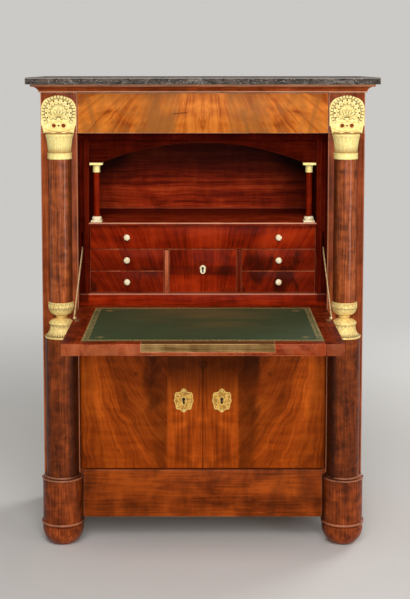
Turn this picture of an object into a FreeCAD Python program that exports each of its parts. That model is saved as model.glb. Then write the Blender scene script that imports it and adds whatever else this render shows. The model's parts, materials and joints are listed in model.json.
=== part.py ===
import FreeCAD, Part
import math
import os
from types import SimpleNamespace

import Sketcher
from FreeCAD import Placement, Rotation, Vector

# Fall-front writing desk. X runs to the right, Y to the back and Z up, from the middle of its footprint.

# Driving dimensions in millimetres
SIZES = {
    # case
    "case_width": 952.0,
    "case_depth": 440.0,
    "side_thick": 20.0,
    "back_thick": 15.0,
    "back_panel_thick": 8.0,
    "back_stile_width": 90.0,
    "stile_width": 107.0,
    "stile_thick": 32.0,
    "lining_thick": 12.0,
    "carcass_lift": 6.0,
    "plinth_height": 145.0,
    "facing_proud": 9.0,
    "facing_gap": 1.0,
    "floor_thick": 22.0,
    "deck_thick": 23.0,
    "deck_setback": 2.0,
    "dust_thick": 20.0,
    "guide_height": 18.0,
    "guide_thick": 14.0,
    "frieze_height": 119.5,
    "top_board_thick": 24.0,
    "cornice_foot_proud": 5.0,
    "cornice_foot_height": 4.0,
    "cornice_proud": 27.0,
    "cornice_lip_height": 7.0,
    "marble_thick": 20.0,
    "marble_front_overhang": 40.0,
    "marble_side_overhang": 39.0,
    "marble_edge_round": 3.0,
    "cut_overrun": 4.0,
    # feet and plinth drums
    "foot_height": 72.0,
    "foot_contact_radius": 31.0,
    "foot_bowl_radius": 61.0,
    "foot_bowl_height": 58.0,
    "foot_neck_radius": 56.0,
    "foot_ring_radius": 63.0,
    "foot_ring_height": 9.0,
    "rear_foot_width": 80.0,
    "rear_foot_depth": 70.0,
    "drum_height": 133.0,
    "drum_radius": 60.0,
    "drum_lip_radius": 62.0,
    "drum_lip_height": 5.0,
    # half-round columns
    "column_inset": 55.5,
    "lower_ring_radius": 55.0,
    "lower_ring_height": 7.0,
    "lower_column_radius": 49.0,
    "lower_column_height": 416.0,
    "base_height": 106.0,
    "base_lip_height": 5.0,
    "base_bell_radius": 33.0,
    "base_bell_height": 34.5,
    "base_disc_radius": 36.0,
    "base_disc_height": 6.0,
    "base_dome_height": 11.5,
    "base_neck_radius": 13.5,
    "base_neck_height": 2.0,
    "base_ring_radius": 16.0,
    "base_ring_height": 5.5,
    "base_cup_radius": 36.5,
    "base_cup_height": 17.5,
    "column_radius": 34.5,
    "capital_height": 75.0,
    "capital_ring_radius": 35.5,
    "capital_ring_height": 19.0,
    "capital_bell_radius": 33.5,
    "capital_radius": 40.7,
    "capital_lip_height": 7.0,
    # gilt mounts
    "wreath_width": 102.0,
    "wreath_height": 109.0,
    "wreath_thick": 5.0,
    "wreath_lift": 0.3,
    "wreath_head_height": 38.0,
    "wreath_crown_width": 75.0,
    "wreath_crown_height": 9.5,
    "wreath_foot_width": 88.0,
    "wreath_foot_height": 22.0,
    "wreath_notch": 2.5,
    "wreath_piercing_ring": 36.0,
    "wreath_piercing_rise": 6.0,
    "wreath_piercing_radius": 2.8,
    "wreath_scroll_radius": 6.0,
    "wreath_scroll_offset": 14.0,
    "wreath_scroll_rise": 22.0,
    "escutcheon_width": 60.0,
    "escutcheon_height": 74.0,
    "escutcheon_thick": 2.5,
    "escutcheon_inset": 57.0,
    "escutcheon_drop": 8.5,
    "keyhole_width": 5.6,
    "keyhole_drop": 10.5,
    # fall
    "hinge_inset": 19.5,
    "fall_gap": 3.0,
    "fall_thick": 31.0,
    "fall_reach": 530.0,
    "fall_side_gap": 2.7,
    "fall_top_gap": 2.0,
    "fall_edge_round": 10.0,
    "fall_stile_width": 49.3,
    "fall_front_rail": 39.0,
    "fall_back_rail": 48.0,
    "leather_thick": 2.0,
    "edge_strip_length": 347.0,
    "edge_strip_height": 21.5,
    "edge_strip_depth": 37.0,
    "edge_strip_shift": 13.0,
    "pivot_radius": 4.0,
    "pivot_plate_radius": 11.0,
    "pivot_plate_thick": 2.0,
    "pivot_depth": 12.0,
    "pivot_end_gap": 1.0,
    "running_gap": 0.05,
    # stays
    "stay_pin_reach": 220.0,
    "stay_pin_lift": 6.0,
    "stay_pin_radius": 2.5,
    "stay_thick": 3.0,
    "stay_height": 9.0,
    "stay_inset": 2.8,
    "stay_side_gap": 1.0,
    "stay_slot_margin": 13.0,
    "stay_slot_gap": 0.5,
    "stay_stop_radius": 4.0,
    "stay_stop_width": 11.0,
    "stay_stop_gap": 0.4,
    "bracket_ear_thick": 4.0,
    "bracket_ear_radius": 5.5,
    "bracket_foot_width": 12.0,
    "bracket_foot_half": 13.0,
    "bracket_foot_thick": 1.5,
    # writing interior
    "nook_setback": 39.0,
    "stay_channel": 16.0,
    "nook_side_thick": 13.0,
    "nook_back_thick": 6.0,
    "nook_rail_height": 66.5,
    "nook_rail_thick": 16.0,
    "nook_floor_thick": 20.0,
    "shelf_setback": 4.0,
    "shelf_thick": 9.5,
    "strip_thick": 8.0,
    "divider_inner": 103.0,
    "divider_thick": 12.0,
    "runner_thick": 6.0,
    "arch_board_height": 69.0,
    "arch_board_thick": 15.0,
    "arch_crown": 9.0,
    "arch_shoulder": 37.0,
    "colonnette_inset": 22.0,
    "colonnette_radius": 9.0,
    "colonnette_setback": 19.5,
    "colonnette_base_height": 17.0,
    "colonnette_base_width": 33.0,
    "colonnette_base_block": 5.5,
    "colonnette_ring_radius": 12.0,
    "colonnette_capital_height": 29.0,
    "colonnette_capital_width": 38.0,
    "colonnette_capital_radius": 13.5,
    "colonnette_drum_radius": 10.8,
    "colonnette_flare_height": 4.5,
    "colonnette_abacus": 6.5,
    # drawers
    "drawer_setback": 16.0,
    "drawer_gap": 1.5,
    "drawer_front_thick": 12.0,
    "drawer_wall": 7.0,
    "drawer_floor": 5.0,
    "drawer_slide_gap": 0.3,
    "drawer_back_gap": 15.0,
    "small_drawer_height": 64.5,
    "wide_drawer_height": 70.5,
    "frieze_front_thick": 22.0,
    "frieze_wall": 11.0,
    "knob_radius": 9.5,
    "knob_neck_radius": 4.5,
    "knob_length": 15.0,
    "knob_neck_length": 5.0,
    "key_plate_width": 18.5,
    "key_plate_height": 26.5,
    "key_plate_rise": 4.5,
    "key_plate_hole_width": 4.6,
    "key_plate_hole_drop": 9.5,
    "key_plate_thick": 1.5,
    # doors
    "door_height": 433.0,
    "door_thick": 22.0,
    "door_gap": 2.0,
    "door_side_gap": 1.0,
    "door_meeting_gap": 1.5,
    "door_pivot_radius": 3.5,
    "door_plate_radius": 9.0,
    "door_plate_thick": 1.0,
    # cupboard
    "cupboard_shelf_thick": 16.0,
    "cupboard_shelf_setback": 60.0,
    "cleat_width": 18.0,
    "cleat_height": 24.0,
}

# Arc heights as shares of their chords
QUARTER_SHARE = (math.sqrt(2) - 1) / 2
HALF_ROUND_SHARE = 0.5
CAVETTO_SHARE = 0.17
BOWL_SHARE = 0.16
BEAD_SHARE = 0.22
BELL_SHARE = 0.16
FLARE_SHARE = 0.1
CUP_SHARE = 0.2
DOME_SHARE = 0.1
SCALLOP_SHARE = 0.09
SHOULDER_SHARE = 0.113
CREST_SHARE = 0.5
KEYHOLE_SHARE = 1.6
SHIELD_TOP_SHARE = 0.14
SHIELD_SIDE_SHARE = 0.05
SHIELD_FOOT_SHARE = 0.16

# Places along a piece as shares of its size
SHIELD_SHOULDER_SHARE = 0.22
SHIELD_WAIST_SHARE = 0.24
SHIELD_WAIST_WIDTH_SHARE = 0.9
LOBED_SHIELD_SHARES = [
    (0.37, -0.71, -0.06),
    (0.8, -0.46, -0.36),
    (1.0, 0.0, 0.06),
    (0.87, 0.2, 0.0),
    (0.78, 0.67, -0.14),
    (0.3, 0.75, 0.04),
]
KNOB_EDGE_SHARE = 0.35
KNOB_TIP_SHARE = 0.4
CUPBOARD_SHELF_SHARE = 0.5
STAY_SLOPE_SHARE = 0.6
BACK_RAIL_SHARE = 0.5

SIDES = {"left": -1, "right": 1}
WREATH_PIERCINGS = 11
WREATH_SWEEP = 230

doc = FreeCAD.newDocument("escritoire")
sheet = doc.addObject("Spreadsheet::Sheet", "sizes")
for row, (name, amount) in enumerate(SIZES.items(), start=1):
    sheet.set("A%d" % row, name)
    sheet.set("B%d" % row, str(amount))
    sheet.setAlias("B%d" % row, name)
doc.recompute()


class Size:
    """A length of the sheet, or a sum of them: its value now and the text that binds a property to it."""

    def __init__(self, value, text):
        self.value = value
        self.text = text

    def join(self, other, sign, value, swap=False):
        """The two joined by a sign, in the order given or swapped."""
        pair = [self.text, text_of(other)]
        if swap:
            pair.reverse()
        return Size(value, "(%s %s %s)" % (pair[0], sign, pair[1]))

    def __add__(self, other):
        return self.join(other, "+", self.value + value_of(other))

    def __radd__(self, other):
        return self.join(other, "+", value_of(other) + self.value, swap=True)

    def __sub__(self, other):
        return self.join(other, "-", self.value - value_of(other))

    def __rsub__(self, other):
        return self.join(other, "-", value_of(other) - self.value, swap=True)

    def __mul__(self, other):
        return self.join(other, "*", self.value * value_of(other))

    def __rmul__(self, other):
        return self.join(other, "*", value_of(other) * self.value, swap=True)

    def __truediv__(self, other):
        return self.join(other, "/", self.value / value_of(other))

    def __neg__(self):
        return Size(-self.value, "(0 - %s)" % self.text)


def text_of(item):
    """The binding text of a size or a plain number."""
    return item.text if isinstance(item, Size) else repr(item)


def value_of(item):
    """The value of a size or a plain number."""
    return item.value if isinstance(item, Size) else float(item)


size = SimpleNamespace(**{name: Size(float(sheet.get(name)), "sizes." + name) for name in SIZES})
nodes = []


def node(item):
    """Keep an object as one sub-part of the desk."""
    nodes.append(item)
    return item


def bind(item, path, amount):
    """Tie a property to the sheet; a plain zero is left as it is."""
    if isinstance(amount, Size):
        item.setExpression(path, amount.text)


def place(item, x, y, z):
    """Tie an object's place to the sheet."""
    for axis, amount in zip("xyz", (x, y, z)):
        bind(item, "Placement.Base." + axis, amount)


def add(kind, label):
    """A new object under its own label."""
    item = doc.addObject(kind, label)
    item.Label = label
    return item


def block(label, x, y, z):
    """A straight board between a low and a high end along each axis."""
    item = add("Part::Box", label)
    for path, (low, high) in zip(("Length", "Width", "Height"), (x, y, z)):
        bind(item, path, high - low)
    place(item, x[0], y[0], z[0])
    return item


def rod(label, radius, length, start, direction):
    """A round bar from its start along a direction."""
    item = add("Part::Cylinder", label)
    bind(item, "Radius", radius)
    bind(item, "Height", length)
    item.Placement = Placement(Vector(), Rotation(Vector(0, 0, 1), direction))
    place(item, *start)
    return item


def group(label, members):
    """Separate solids kept together as one piece of the list."""
    item = add("Part::Compound", label)
    item.Links = members
    return item


def cut(label, base, tools):
    """A piece with the tools taken out of it."""
    item = add("Part::Cut", label)
    item.Base = base
    item.Tool = tools[0] if len(tools) == 1 else group(label + "_tools", tools)
    return item


def fuse(label, members):
    """Pieces forged as one."""
    item = add("Part::MultiFuse", label)
    item.Shapes = members
    return item


def flat(point):
    """The sketch point of a pair of sizes."""
    return Vector(value_of(point[0]), value_of(point[1]), 0)


def tie(sketch, kind, edge, corner, amount):
    """Tie one corner of a sketch to a size along one direction."""
    constraint = Sketcher.Constraint(kind, -1, 1, edge, corner, value_of(amount))
    bind(sketch, "Constraints[%d]" % sketch.addConstraint(constraint), amount)


def hold(sketch, edge, corner, point):
    """Tie one corner of a sketch to its two sizes."""
    for kind, amount in zip(("DistanceX", "DistanceY"), point):
        tie(sketch, kind, edge, corner, amount)


def draw_circle(sketch, centre, radius):
    """A full circle in a sketch."""
    edge = sketch.addGeometry(Part.Circle(flat(centre), Vector(0, 0, 1), value_of(radius)))
    hold(sketch, edge, 3, centre)
    constraint = Sketcher.Constraint("Radius", edge, value_of(radius))
    bind(sketch, "Constraints[%d]" % sketch.addConstraint(constraint), radius)


def draw_loop(sketch, points):
    """A closed outline; a point's third entry is the arc height, left of travel, of the edge to it."""
    first = sketch.GeometryCount
    ends = []
    for here, there in zip(points, points[1:] + points[:1]):
        begin = flat(here)
        end = flat(there)
        bulge = there[2] if len(there) > 2 else 0
        if not value_of(bulge):
            sketch.addGeometry(Part.LineSegment(begin, end))
            ends.append((1, 2))
            continue
        run = end - begin
        middle = (begin + end) / 2 + Vector(-run.y, run.x, 0) * value_of(bulge)
        edge = sketch.addGeometry(Part.Arc(begin, middle, end))
        ends.append((2, 1) if value_of(bulge) > 0 else (1, 2))
        offset = (bulge * bulge - 1 / 4) / (bulge * 2)
        if abs(run.y) > abs(run.x):
            centre = (here[0] + there[0]) / 2 - (there[1] - here[1]) * offset
            tie(sketch, "DistanceX", edge, 3, centre)
        else:
            centre = (here[1] + there[1]) / 2 + (there[0] - here[0]) * offset
            tie(sketch, "DistanceY", edge, 3, centre)
    for index, point in enumerate(points):
        following = (index + 1) % len(points)
        sketch.addConstraint(Sketcher.Constraint(
            "Coincident", first + index, ends[index][1], first + following, ends[following][0]))
        hold(sketch, first + index, ends[index][0], point[:2])


def sketched_body(label, role, loops, circles=()):
    """A body with one sketch on one of its own planes."""
    body = add("PartDesign::Body", label)
    sketch = body.newObject("Sketcher::SketchObject", label + "_outline")
    plane = [item for item in body.Origin.OriginFeatures if item.Role == role][0]
    sketch.AttachmentSupport = [(plane, "")]
    sketch.MapMode = "FlatFace"
    for points in loops:
        draw_loop(sketch, points)
    for centre, radius in circles:
        draw_circle(sketch, centre, radius)
    return body, sketch


def prism(label, role, loops, depth, where, circles=()):
    """An outline padded to a depth: forwards from XZ, upwards from XY, to the right from YZ."""
    body, sketch = sketched_body(label, role, loops, circles)
    pad = body.newObject("PartDesign::Pad", label + "_pad")
    pad.Profile = sketch
    bind(pad, "Length", depth)
    place(body, *where)
    return body


def turned(label, outline, where, sweep=360, facing=Vector(0, 0, 1)):
    """An outline of radius and height turned about its axis; a half turn keeps the front half."""
    body, sketch = sketched_body(label, "XZ_Plane", [outline])
    turn = body.newObject("PartDesign::Revolution", label + "_turn")
    turn.Profile = sketch
    turn.ReferenceAxis = (sketch, ["V_Axis"])
    turn.Angle = sweep
    turn.Reversed = True
    body.Placement = Placement(Vector(), Rotation(Vector(0, 0, 1), facing))
    place(body, *where)
    return body


def span(side, inner, outer):
    """Low and high ends of a stretch of X on the left or right."""
    return (inner, outer) if side > 0 else (-outer, -inner)


# Levels from the floor up
case_half = size.case_width / 2
carcass_bottom = size.foot_height + size.carcass_lift
plinth_top = carcass_bottom + size.plinth_height
door_bottom = plinth_top + size.door_gap
door_top = door_bottom + size.door_height
deck_bottom = door_top + size.door_gap
deck_top = deck_bottom + size.deck_thick
fall_bottom = deck_top + size.fall_gap
fall_top = fall_bottom + size.fall_thick
axis_z = fall_bottom + size.fall_thick / 2
frieze_bottom = axis_z + size.fall_reach + size.fall_top_gap
frieze_top = frieze_bottom + size.frieze_height
dust_top = frieze_bottom - size.drawer_gap
dust_bottom = dust_top - size.dust_thick
marble_bottom = frieze_top + size.top_board_thick

# Planes from the front to the back, with the open fall and the case back at equal reach
case_front = (size.fall_reach - size.hinge_inset - size.case_depth) / 2
case_back = case_front + size.case_depth
back_face = case_back - size.back_thick
stile_back = case_front + size.stile_thick
axis_y = case_front + size.hinge_inset
fall_front = axis_y - size.fall_reach
nook_front = case_front + size.nook_setback
nook_back = back_face - size.nook_back_thick
drawer_face = nook_front + size.drawer_setback
drawer_rear = drawer_face + size.drawer_front_thick
shelf_front = nook_front + size.shelf_setback
colonnette_y = shelf_front + size.colonnette_setback

# Widths from the middle out
stile_inner = case_half - size.stile_width
side_inner = case_half - size.side_thick
lining_outer = stile_inner + size.lining_thick
column_x = case_half - size.column_inset
fall_half = stile_inner - size.fall_side_gap
field_half = fall_half - size.fall_stile_width
nook_outer = stile_inner - size.stay_channel
nook_half = nook_outer - size.nook_side_thick
divider_outer = size.divider_inner + size.divider_thick
knob_x = (divider_outer + nook_half) / 2
colonnette_x = nook_half - size.colonnette_inset
arch_half_span = nook_half - size.arch_shoulder

# Door hinge lines
door_face = case_front + size.deck_setback
door_rear = door_face + size.door_thick
door_axis_y = door_face + size.door_thick / 2
door_axis_x = stile_inner - size.door_side_gap - size.door_thick / 2

# Levels of the writing interior
nook_floor_top = deck_top + size.nook_rail_height
lower_drawer_bottom = nook_floor_top + size.drawer_gap
lower_drawer_top = lower_drawer_bottom + size.small_drawer_height
upper_drawer_bottom = lower_drawer_top + size.drawer_gap
upper_drawer_top = upper_drawer_bottom + size.small_drawer_height
wide_drawer_bottom = upper_drawer_top + size.drawer_gap
wide_drawer_top = wide_drawer_bottom + size.wide_drawer_height
shelf_bottom = wide_drawer_top + size.drawer_gap
shelf_top = shelf_bottom + size.shelf_thick
arch_spring = dust_bottom - size.arch_board_height
runner_rise = (size.runner_thick - size.drawer_gap) / 2
middle_runner = (lower_drawer_top - runner_rise, upper_drawer_bottom + runner_rise)
upper_runner = (upper_drawer_top - runner_rise, wide_drawer_bottom + runner_rise)

# Stays: the pin on the fall, and the bar's rise where it passes the slotted strip
stay_outer = fall_half - size.stay_inset
stay_inner = stay_outer - size.stay_thick
pin_y = axis_y - size.stay_pin_reach
pin_z = fall_top + size.stay_pin_lift
strip_rear = drawer_face + size.strip_thick
stay_stretch_share = math.sqrt(1 + STAY_SLOPE_SHARE ** 2)
stay_length = (strip_rear + size.stay_stop_gap + size.stay_stop_radius - pin_y) * stay_stretch_share
slot_bottom = pin_z + (drawer_face - pin_y) * STAY_SLOPE_SHARE - size.stay_slot_margin
slot_top = axis_z + size.stay_pin_reach + size.stay_slot_margin


def marble_top():
    """The slab, with the edges of its upper face eased."""
    half = case_half + size.marble_side_overhang
    front = case_front - size.marble_front_overhang
    outline = [(-half, front), (half, front), (half, case_back), (-half, case_back)]
    body = prism("marble_top", "XY_Plane", [outline], size.marble_thick, (0, 0, marble_bottom))
    doc.recompute()
    pad = body.Tip
    heights = [face.CenterOfMass.z for face in pad.Shape.Faces]
    upper = "Face%d" % (heights.index(max(heights)) + 1)
    easing = body.newObject("PartDesign::Fillet", "marble_top_easing")
    easing.Base = (pad, [upper])
    bind(easing, "Radius", size.marble_edge_round)
    body.Tip = easing
    return body


def cornice_outline(direction):
    """The moulding's section: a foot fillet, a hollow and a lip, standing out along the direction given."""
    lip = size.top_board_thick - size.cornice_lip_height
    return [
        (0, 0),
        (size.cornice_foot_proud * direction, 0),
        (size.cornice_foot_proud * direction, size.cornice_foot_height),
        (size.cornice_proud * direction, lip, CAVETTO_SHARE * direction),
        (size.cornice_proud * direction, size.top_board_thick),
        (0, size.top_board_thick),
    ]


def mitre_tool(label, side, keeps_front):
    """A wedge along the mitre line of one front corner, over the half of the corner to be taken off."""
    over = size.cut_overrun
    reach = size.cornice_proud + over
    inner = case_half - over
    outer = case_half + reach
    third = (outer * side, case_front + over) if keeps_front else (inner * side, case_front - reach)
    outline = [(inner * side, case_front + over), (outer * side, case_front - reach), third]
    where = (0, 0, frieze_top - over)
    return prism(label, "XY_Plane", [outline], size.top_board_thick + over * 2, where)


def cornice():
    """Three mouldings, mitred at the front corners."""
    outer = case_half + size.cornice_proud
    front_blank = prism("cornice_front_blank", "YZ_Plane", [cornice_outline(-1)], outer * 2,
                        (-outer, case_front, frieze_top))
    tools = [mitre_tool("cornice_front_mitre_" + name, side, True) for name, side in SIDES.items()]
    runs = [cut("cornice_front", front_blank, tools)]
    depth = case_back - case_front + size.cornice_proud
    for name, side in SIDES.items():
        blank = prism("cornice_%s_blank" % name, "XZ_Plane", [cornice_outline(side)], depth,
                      (case_half * side, case_back, frieze_top))
        tool = mitre_tool("cornice_%s_mitre" % name, side, False)
        runs.append(cut("cornice_" + name, blank, [tool]))
    return group("cornice", runs)


def case_boards():
    """The boards that make the case: top, sides, dust board with its guides, deck, floor and linings."""
    back = (case_front, case_back)
    node(block("top_board", (-case_half, case_half), back, (frieze_top, marble_bottom)))
    deep = (stile_back, back_face)
    panels = []
    linings = []
    for name, side in SIDES.items():
        panel_x = span(side, side_inner, case_half)
        lining_x = span(side, stile_inner, lining_outer)
        panels.append(block("side_panel_" + name, panel_x, deep, (carcass_bottom, frieze_top)))
        linings.append(block("lining_" + name, lining_x, deep, (plinth_top, dust_bottom)))
    node(group("side_panels", panels))
    node(group("linings", linings))
    between = (-side_inner, side_inner)
    board = block("dust_board_panel", between, (nook_front, back_face), (dust_bottom, dust_top))
    guides = []
    for name, side in SIDES.items():
        guide_x = span(side, stile_inner, stile_inner + size.guide_thick)
        guide_z = (dust_top, dust_top + size.guide_height)
        guides.append(block("drawer_guide_" + name, guide_x, (nook_front, back_face), guide_z))
    node(group("dust_board", [board] + guides))
    node(block("cupboard_floor", between, deep, (plinth_top - size.floor_thick, plinth_top)))


def back():
    """The framed back with an upper and a lower panel."""
    inner = case_half - size.back_stile_width
    middle = (carcass_bottom + frieze_top) * BACK_RAIL_SHARE
    half_rail = size.back_stile_width / 2
    depth = (back_face, case_back)
    frame = []
    for name, side in SIDES.items():
        stile_x = span(side, inner, case_half)
        frame.append(block("back_stile_" + name, stile_x, depth, (carcass_bottom, frieze_top)))
    rails = {
        "bottom": (carcass_bottom, carcass_bottom + size.back_stile_width),
        "middle": (middle - half_rail, middle + half_rail),
        "top": (frieze_top - size.back_stile_width, frieze_top),
    }
    for name, height in rails.items():
        frame.append(block("back_rail_" + name, (-inner, inner), depth, height))
    node(group("back_frame", frame))
    panel_depth = (back_face, back_face + size.back_panel_thick)
    lower = block("back_panel_lower", (-inner, inner), panel_depth, (rails["bottom"][1], rails["middle"][0]))
    upper = block("back_panel_upper", (-inner, inner), panel_depth, (rails["middle"][1], rails["top"][0]))
    node(group("back_panels", [lower, upper]))


def front_frame():
    """Stiles with the bores of the fall, frieze blocks, deck and plinth rail with the bores of the doors."""
    depth = (case_front, stile_back)
    bore = size.pivot_radius + size.running_gap
    bore_depth = size.pivot_depth + size.pivot_end_gap
    stiles = []
    blocks = []
    for name, side in SIDES.items():
        blank = block("stile_blank_" + name, span(side, stile_inner, case_half), depth,
                      (size.foot_height, frieze_bottom))
        start = (stile_inner * side, axis_y, axis_z)
        tool = rod("stile_bore_" + name, bore, bore_depth, start, Vector(side, 0, 0))
        stiles.append(cut("stile_" + name, blank, [tool]))
        blocks.append(block("frieze_block_" + name, span(side, stile_inner, case_half), depth,
                            (frieze_bottom, frieze_top)))
    node(group("stiles", stiles))
    node(group("frieze_blocks", blocks))
    deck = block("deck_blank", (-stile_inner, stile_inner), (case_front + size.deck_setback, back_face),
                 (deck_bottom, deck_top))
    rail = block("plinth_rail_blank", (-stile_inner, stile_inner), depth, (carcass_bottom, plinth_top))
    door_bore = size.door_pivot_radius + size.running_gap
    deck_tools = []
    rail_tools = []
    for name, side in SIDES.items():
        up = (door_axis_x * side, door_axis_y, deck_bottom)
        down = (door_axis_x * side, door_axis_y, plinth_top)
        deck_tools.append(rod("deck_bore_" + name, door_bore, bore_depth, up, Vector(0, 0, 1)))
        rail_tools.append(rod("plinth_bore_" + name, door_bore, bore_depth, down, Vector(0, 0, -1)))
    node(cut("desk_deck", deck, deck_tools))
    node(cut("plinth_rail", rail, rail_tools))
    facing_half = column_x - size.drum_lip_radius - size.facing_gap
    facing_depth = (case_front - size.facing_proud, case_front)
    node(block("plinth_facing", (-facing_half, facing_half), facing_depth, (carcass_bottom, plinth_top)))


def foot_outline():
    """A turned bowl foot under a ring."""
    ring_low = size.foot_height - size.foot_ring_height
    return [
        (0, 0),
        (size.foot_contact_radius, 0),
        (size.foot_bowl_radius, size.foot_bowl_height, -BOWL_SHARE),
        (size.foot_neck_radius, ring_low),
        (size.foot_ring_radius, ring_low),
        (size.foot_ring_radius, size.foot_height, -BEAD_SHARE),
        (0, size.foot_height),
    ]


def drum_outline():
    """The plinth drum with its lip."""
    lip_low = size.drum_height - size.drum_lip_height
    return [
        (0, 0),
        (size.drum_radius, 0),
        (size.drum_radius, lip_low),
        (size.drum_lip_radius, lip_low),
        (size.drum_lip_radius, size.drum_height, -BEAD_SHARE),
        (0, size.drum_height),
    ]


def lower_column_outline():
    """The lower column on its ring."""
    top = size.lower_ring_height + size.lower_column_height
    return [
        (0, 0),
        (size.lower_ring_radius, 0),
        (size.lower_ring_radius, size.lower_ring_height, -BEAD_SHARE),
        (size.lower_column_radius, size.lower_ring_height),
        (size.lower_column_radius, top),
        (0, top),
    ]


def base_outline():
    """The gilt base: a bell under a disc and dome, then a ringed neck that carries a cup."""
    bell_top = size.base_lip_height + size.base_bell_height
    disc_top = bell_top + size.base_disc_height
    dome_top = disc_top + size.base_dome_height
    ring_low = dome_top + size.base_neck_height
    ring_top = ring_low + size.base_ring_height
    cup_low = ring_top + size.base_neck_height
    cup_top = cup_low + size.base_cup_height
    return [
        (0, 0),
        (size.lower_column_radius, 0),
        (size.lower_column_radius, size.base_lip_height),
        (size.base_bell_radius, bell_top, BELL_SHARE),
        (size.base_disc_radius, bell_top),
        (size.base_disc_radius, disc_top, -BEAD_SHARE),
        (size.base_neck_radius, dome_top, -DOME_SHARE),
        (size.base_neck_radius, ring_low),
        (size.base_ring_radius, ring_low),
        (size.base_ring_radius, ring_top, -BEAD_SHARE),
        (size.base_neck_radius, ring_top),
        (size.base_neck_radius, cup_low),
        (size.base_cup_radius, cup_top, -CUP_SHARE),
        (size.base_cup_radius, size.base_height),
        (0, size.base_height),
    ]


def capital_outline():
    """The gilt capital: a ring, a flaring bell and a lip."""
    lip_low = size.capital_height - size.capital_lip_height
    return [
        (0, 0),
        (size.capital_ring_radius, 0),
        (size.capital_ring_radius, size.capital_ring_height),
        (size.capital_bell_radius, size.capital_ring_height),
        (size.capital_radius, lip_low, FLARE_SHARE),
        (size.capital_radius, size.capital_height),
        (0, size.capital_height),
    ]


def columns():
    """On each side, from the floor up: foot, drum, lower column, base, shaft, capital and wreath."""
    base_z = size.foot_height + size.drum_height + size.lower_ring_height + size.lower_column_height
    shaft_z = base_z + size.base_height
    capital_z = frieze_bottom - size.capital_height
    shaft_height = capital_z - shaft_z
    shaft = [(0, 0), (size.column_radius, 0), (size.column_radius, shaft_height), (0, shaft_height)]
    stack = [
        ("plinth_drum", drum_outline(), size.foot_height),
        ("lower_column", lower_column_outline(), size.foot_height + size.drum_height),
        ("column_base", base_outline(), base_z),
        ("column_shaft", shaft, shaft_z),
        ("capital", capital_outline(), capital_z),
    ]
    for label, outline, low in stack:
        pair = [turned("%s_%s" % (label, name), outline, (column_x * side, case_front, low), sweep=180)
                for name, side in SIDES.items()]
        node(group(label + "s", pair))
    front_feet = []
    rear_feet = []
    wreaths = []
    for name, side in SIDES.items():
        front_feet.append(turned("foot_front_" + name, foot_outline(), (column_x * side, case_front, 0)))
        rear_feet.append(block("foot_rear_" + name, span(side, case_half - size.rear_foot_width, case_half),
                               (case_back - size.rear_foot_depth, case_back), (0, carcass_bottom)))
        middle = (case_half - size.stile_width / 2) * side
        level = frieze_bottom + size.wreath_lift + size.wreath_height / 2
        wreaths.append(prism("wreath_" + name, "XZ_Plane", [wreath_outline()], size.wreath_thick,
                             (middle, case_front, level), wreath_piercings()))
    node(group("front_feet", front_feet))
    node(group("rear_feet", rear_feet))
    node(group("wreath_mounts", wreaths))


def wreath_outline():
    """The medallion's edge: a scalloped foot, notched sides and a broad round head."""
    half = size.wreath_width / 2
    tall = size.wreath_height / 2
    foot = size.wreath_foot_width / 2
    scallop = size.wreath_foot_width / 6
    waist = size.wreath_foot_height - tall
    spring = tall - size.wreath_head_height
    crown = size.wreath_crown_width / 2
    crown_z = tall - size.wreath_crown_height
    return [
        (-foot, -tall),
        (-scallop, -tall, SCALLOP_SHARE),
        (scallop, -tall, SCALLOP_SHARE),
        (foot, -tall, SCALLOP_SHARE),
        (half - size.wreath_notch, waist),
        (half, waist),
        (half, spring),
        (crown, crown_z, -SHOULDER_SHARE),
        (-crown, crown_z, -(size.wreath_crown_height / size.wreath_crown_width)),
        (-half, spring, -SHOULDER_SHARE),
        (-half, waist),
        (size.wreath_notch - half, waist),
    ]


def wreath_piercings():
    """The leaf piercings round the medallion's head, and two scroll eyes with a small one between them."""
    eye_z = size.wreath_scroll_rise - size.wreath_height / 2
    circles = [((0, eye_z), size.wreath_piercing_radius)]
    for side in SIDES.values():
        circles.append(((size.wreath_scroll_offset * side, eye_z), size.wreath_scroll_radius))
    for index in range(WREATH_PIERCINGS):
        turn = math.radians(WREATH_SWEEP * (index / (WREATH_PIERCINGS - 1) - 0.5))
        across = size.wreath_piercing_ring * math.sin(turn)
        up = size.wreath_piercing_ring * math.cos(turn) + size.wreath_piercing_rise
        circles.append(((across, up), size.wreath_piercing_radius))
    return circles


def keyhole_loop(width, drop):
    """A keyhole: a round eye over a slot."""
    slot = width / 2
    return [(-slot, -drop), (slot, -drop), (slot, 0), (-slot, 0, -KEYHOLE_SHARE)]


def lobed_shield_loops(width, height):
    """A lobed shield with a crest, side points and a pointed foot, and its keyhole."""
    half = width / 2
    tall = height / 2
    outline = [(0, -tall, LOBED_SHIELD_SHARES[0][2])]
    bulge = -CREST_SHARE
    for across, up, arc in LOBED_SHIELD_SHARES:
        outline.append((half * across, tall * up, arc))
    for across, up, arc in reversed(LOBED_SHIELD_SHARES):
        outline.append((half * -across, tall * up, bulge))
        bulge = arc
    return [outline, keyhole_loop(size.keyhole_width, size.keyhole_drop)]


def shield_loops(width, height):
    """A shield with pointed ends and its keyhole."""
    half = width / 2
    tall = height / 2
    shoulder = height * SHIELD_SHOULDER_SHARE
    waist = height * SHIELD_WAIST_SHARE
    narrow = half * SHIELD_WAIST_WIDTH_SHARE
    outline = [
        (0, -tall, -SHIELD_FOOT_SHARE),
        (narrow, -waist, -SHIELD_FOOT_SHARE),
        (half, shoulder, SHIELD_SIDE_SHARE),
        (0, tall, -SHIELD_TOP_SHARE),
        (-half, shoulder, -SHIELD_TOP_SHARE),
        (-narrow, -waist, SHIELD_SIDE_SHARE),
    ]
    return [outline, keyhole_loop(size.key_plate_hole_width, size.key_plate_hole_drop)]


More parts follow.
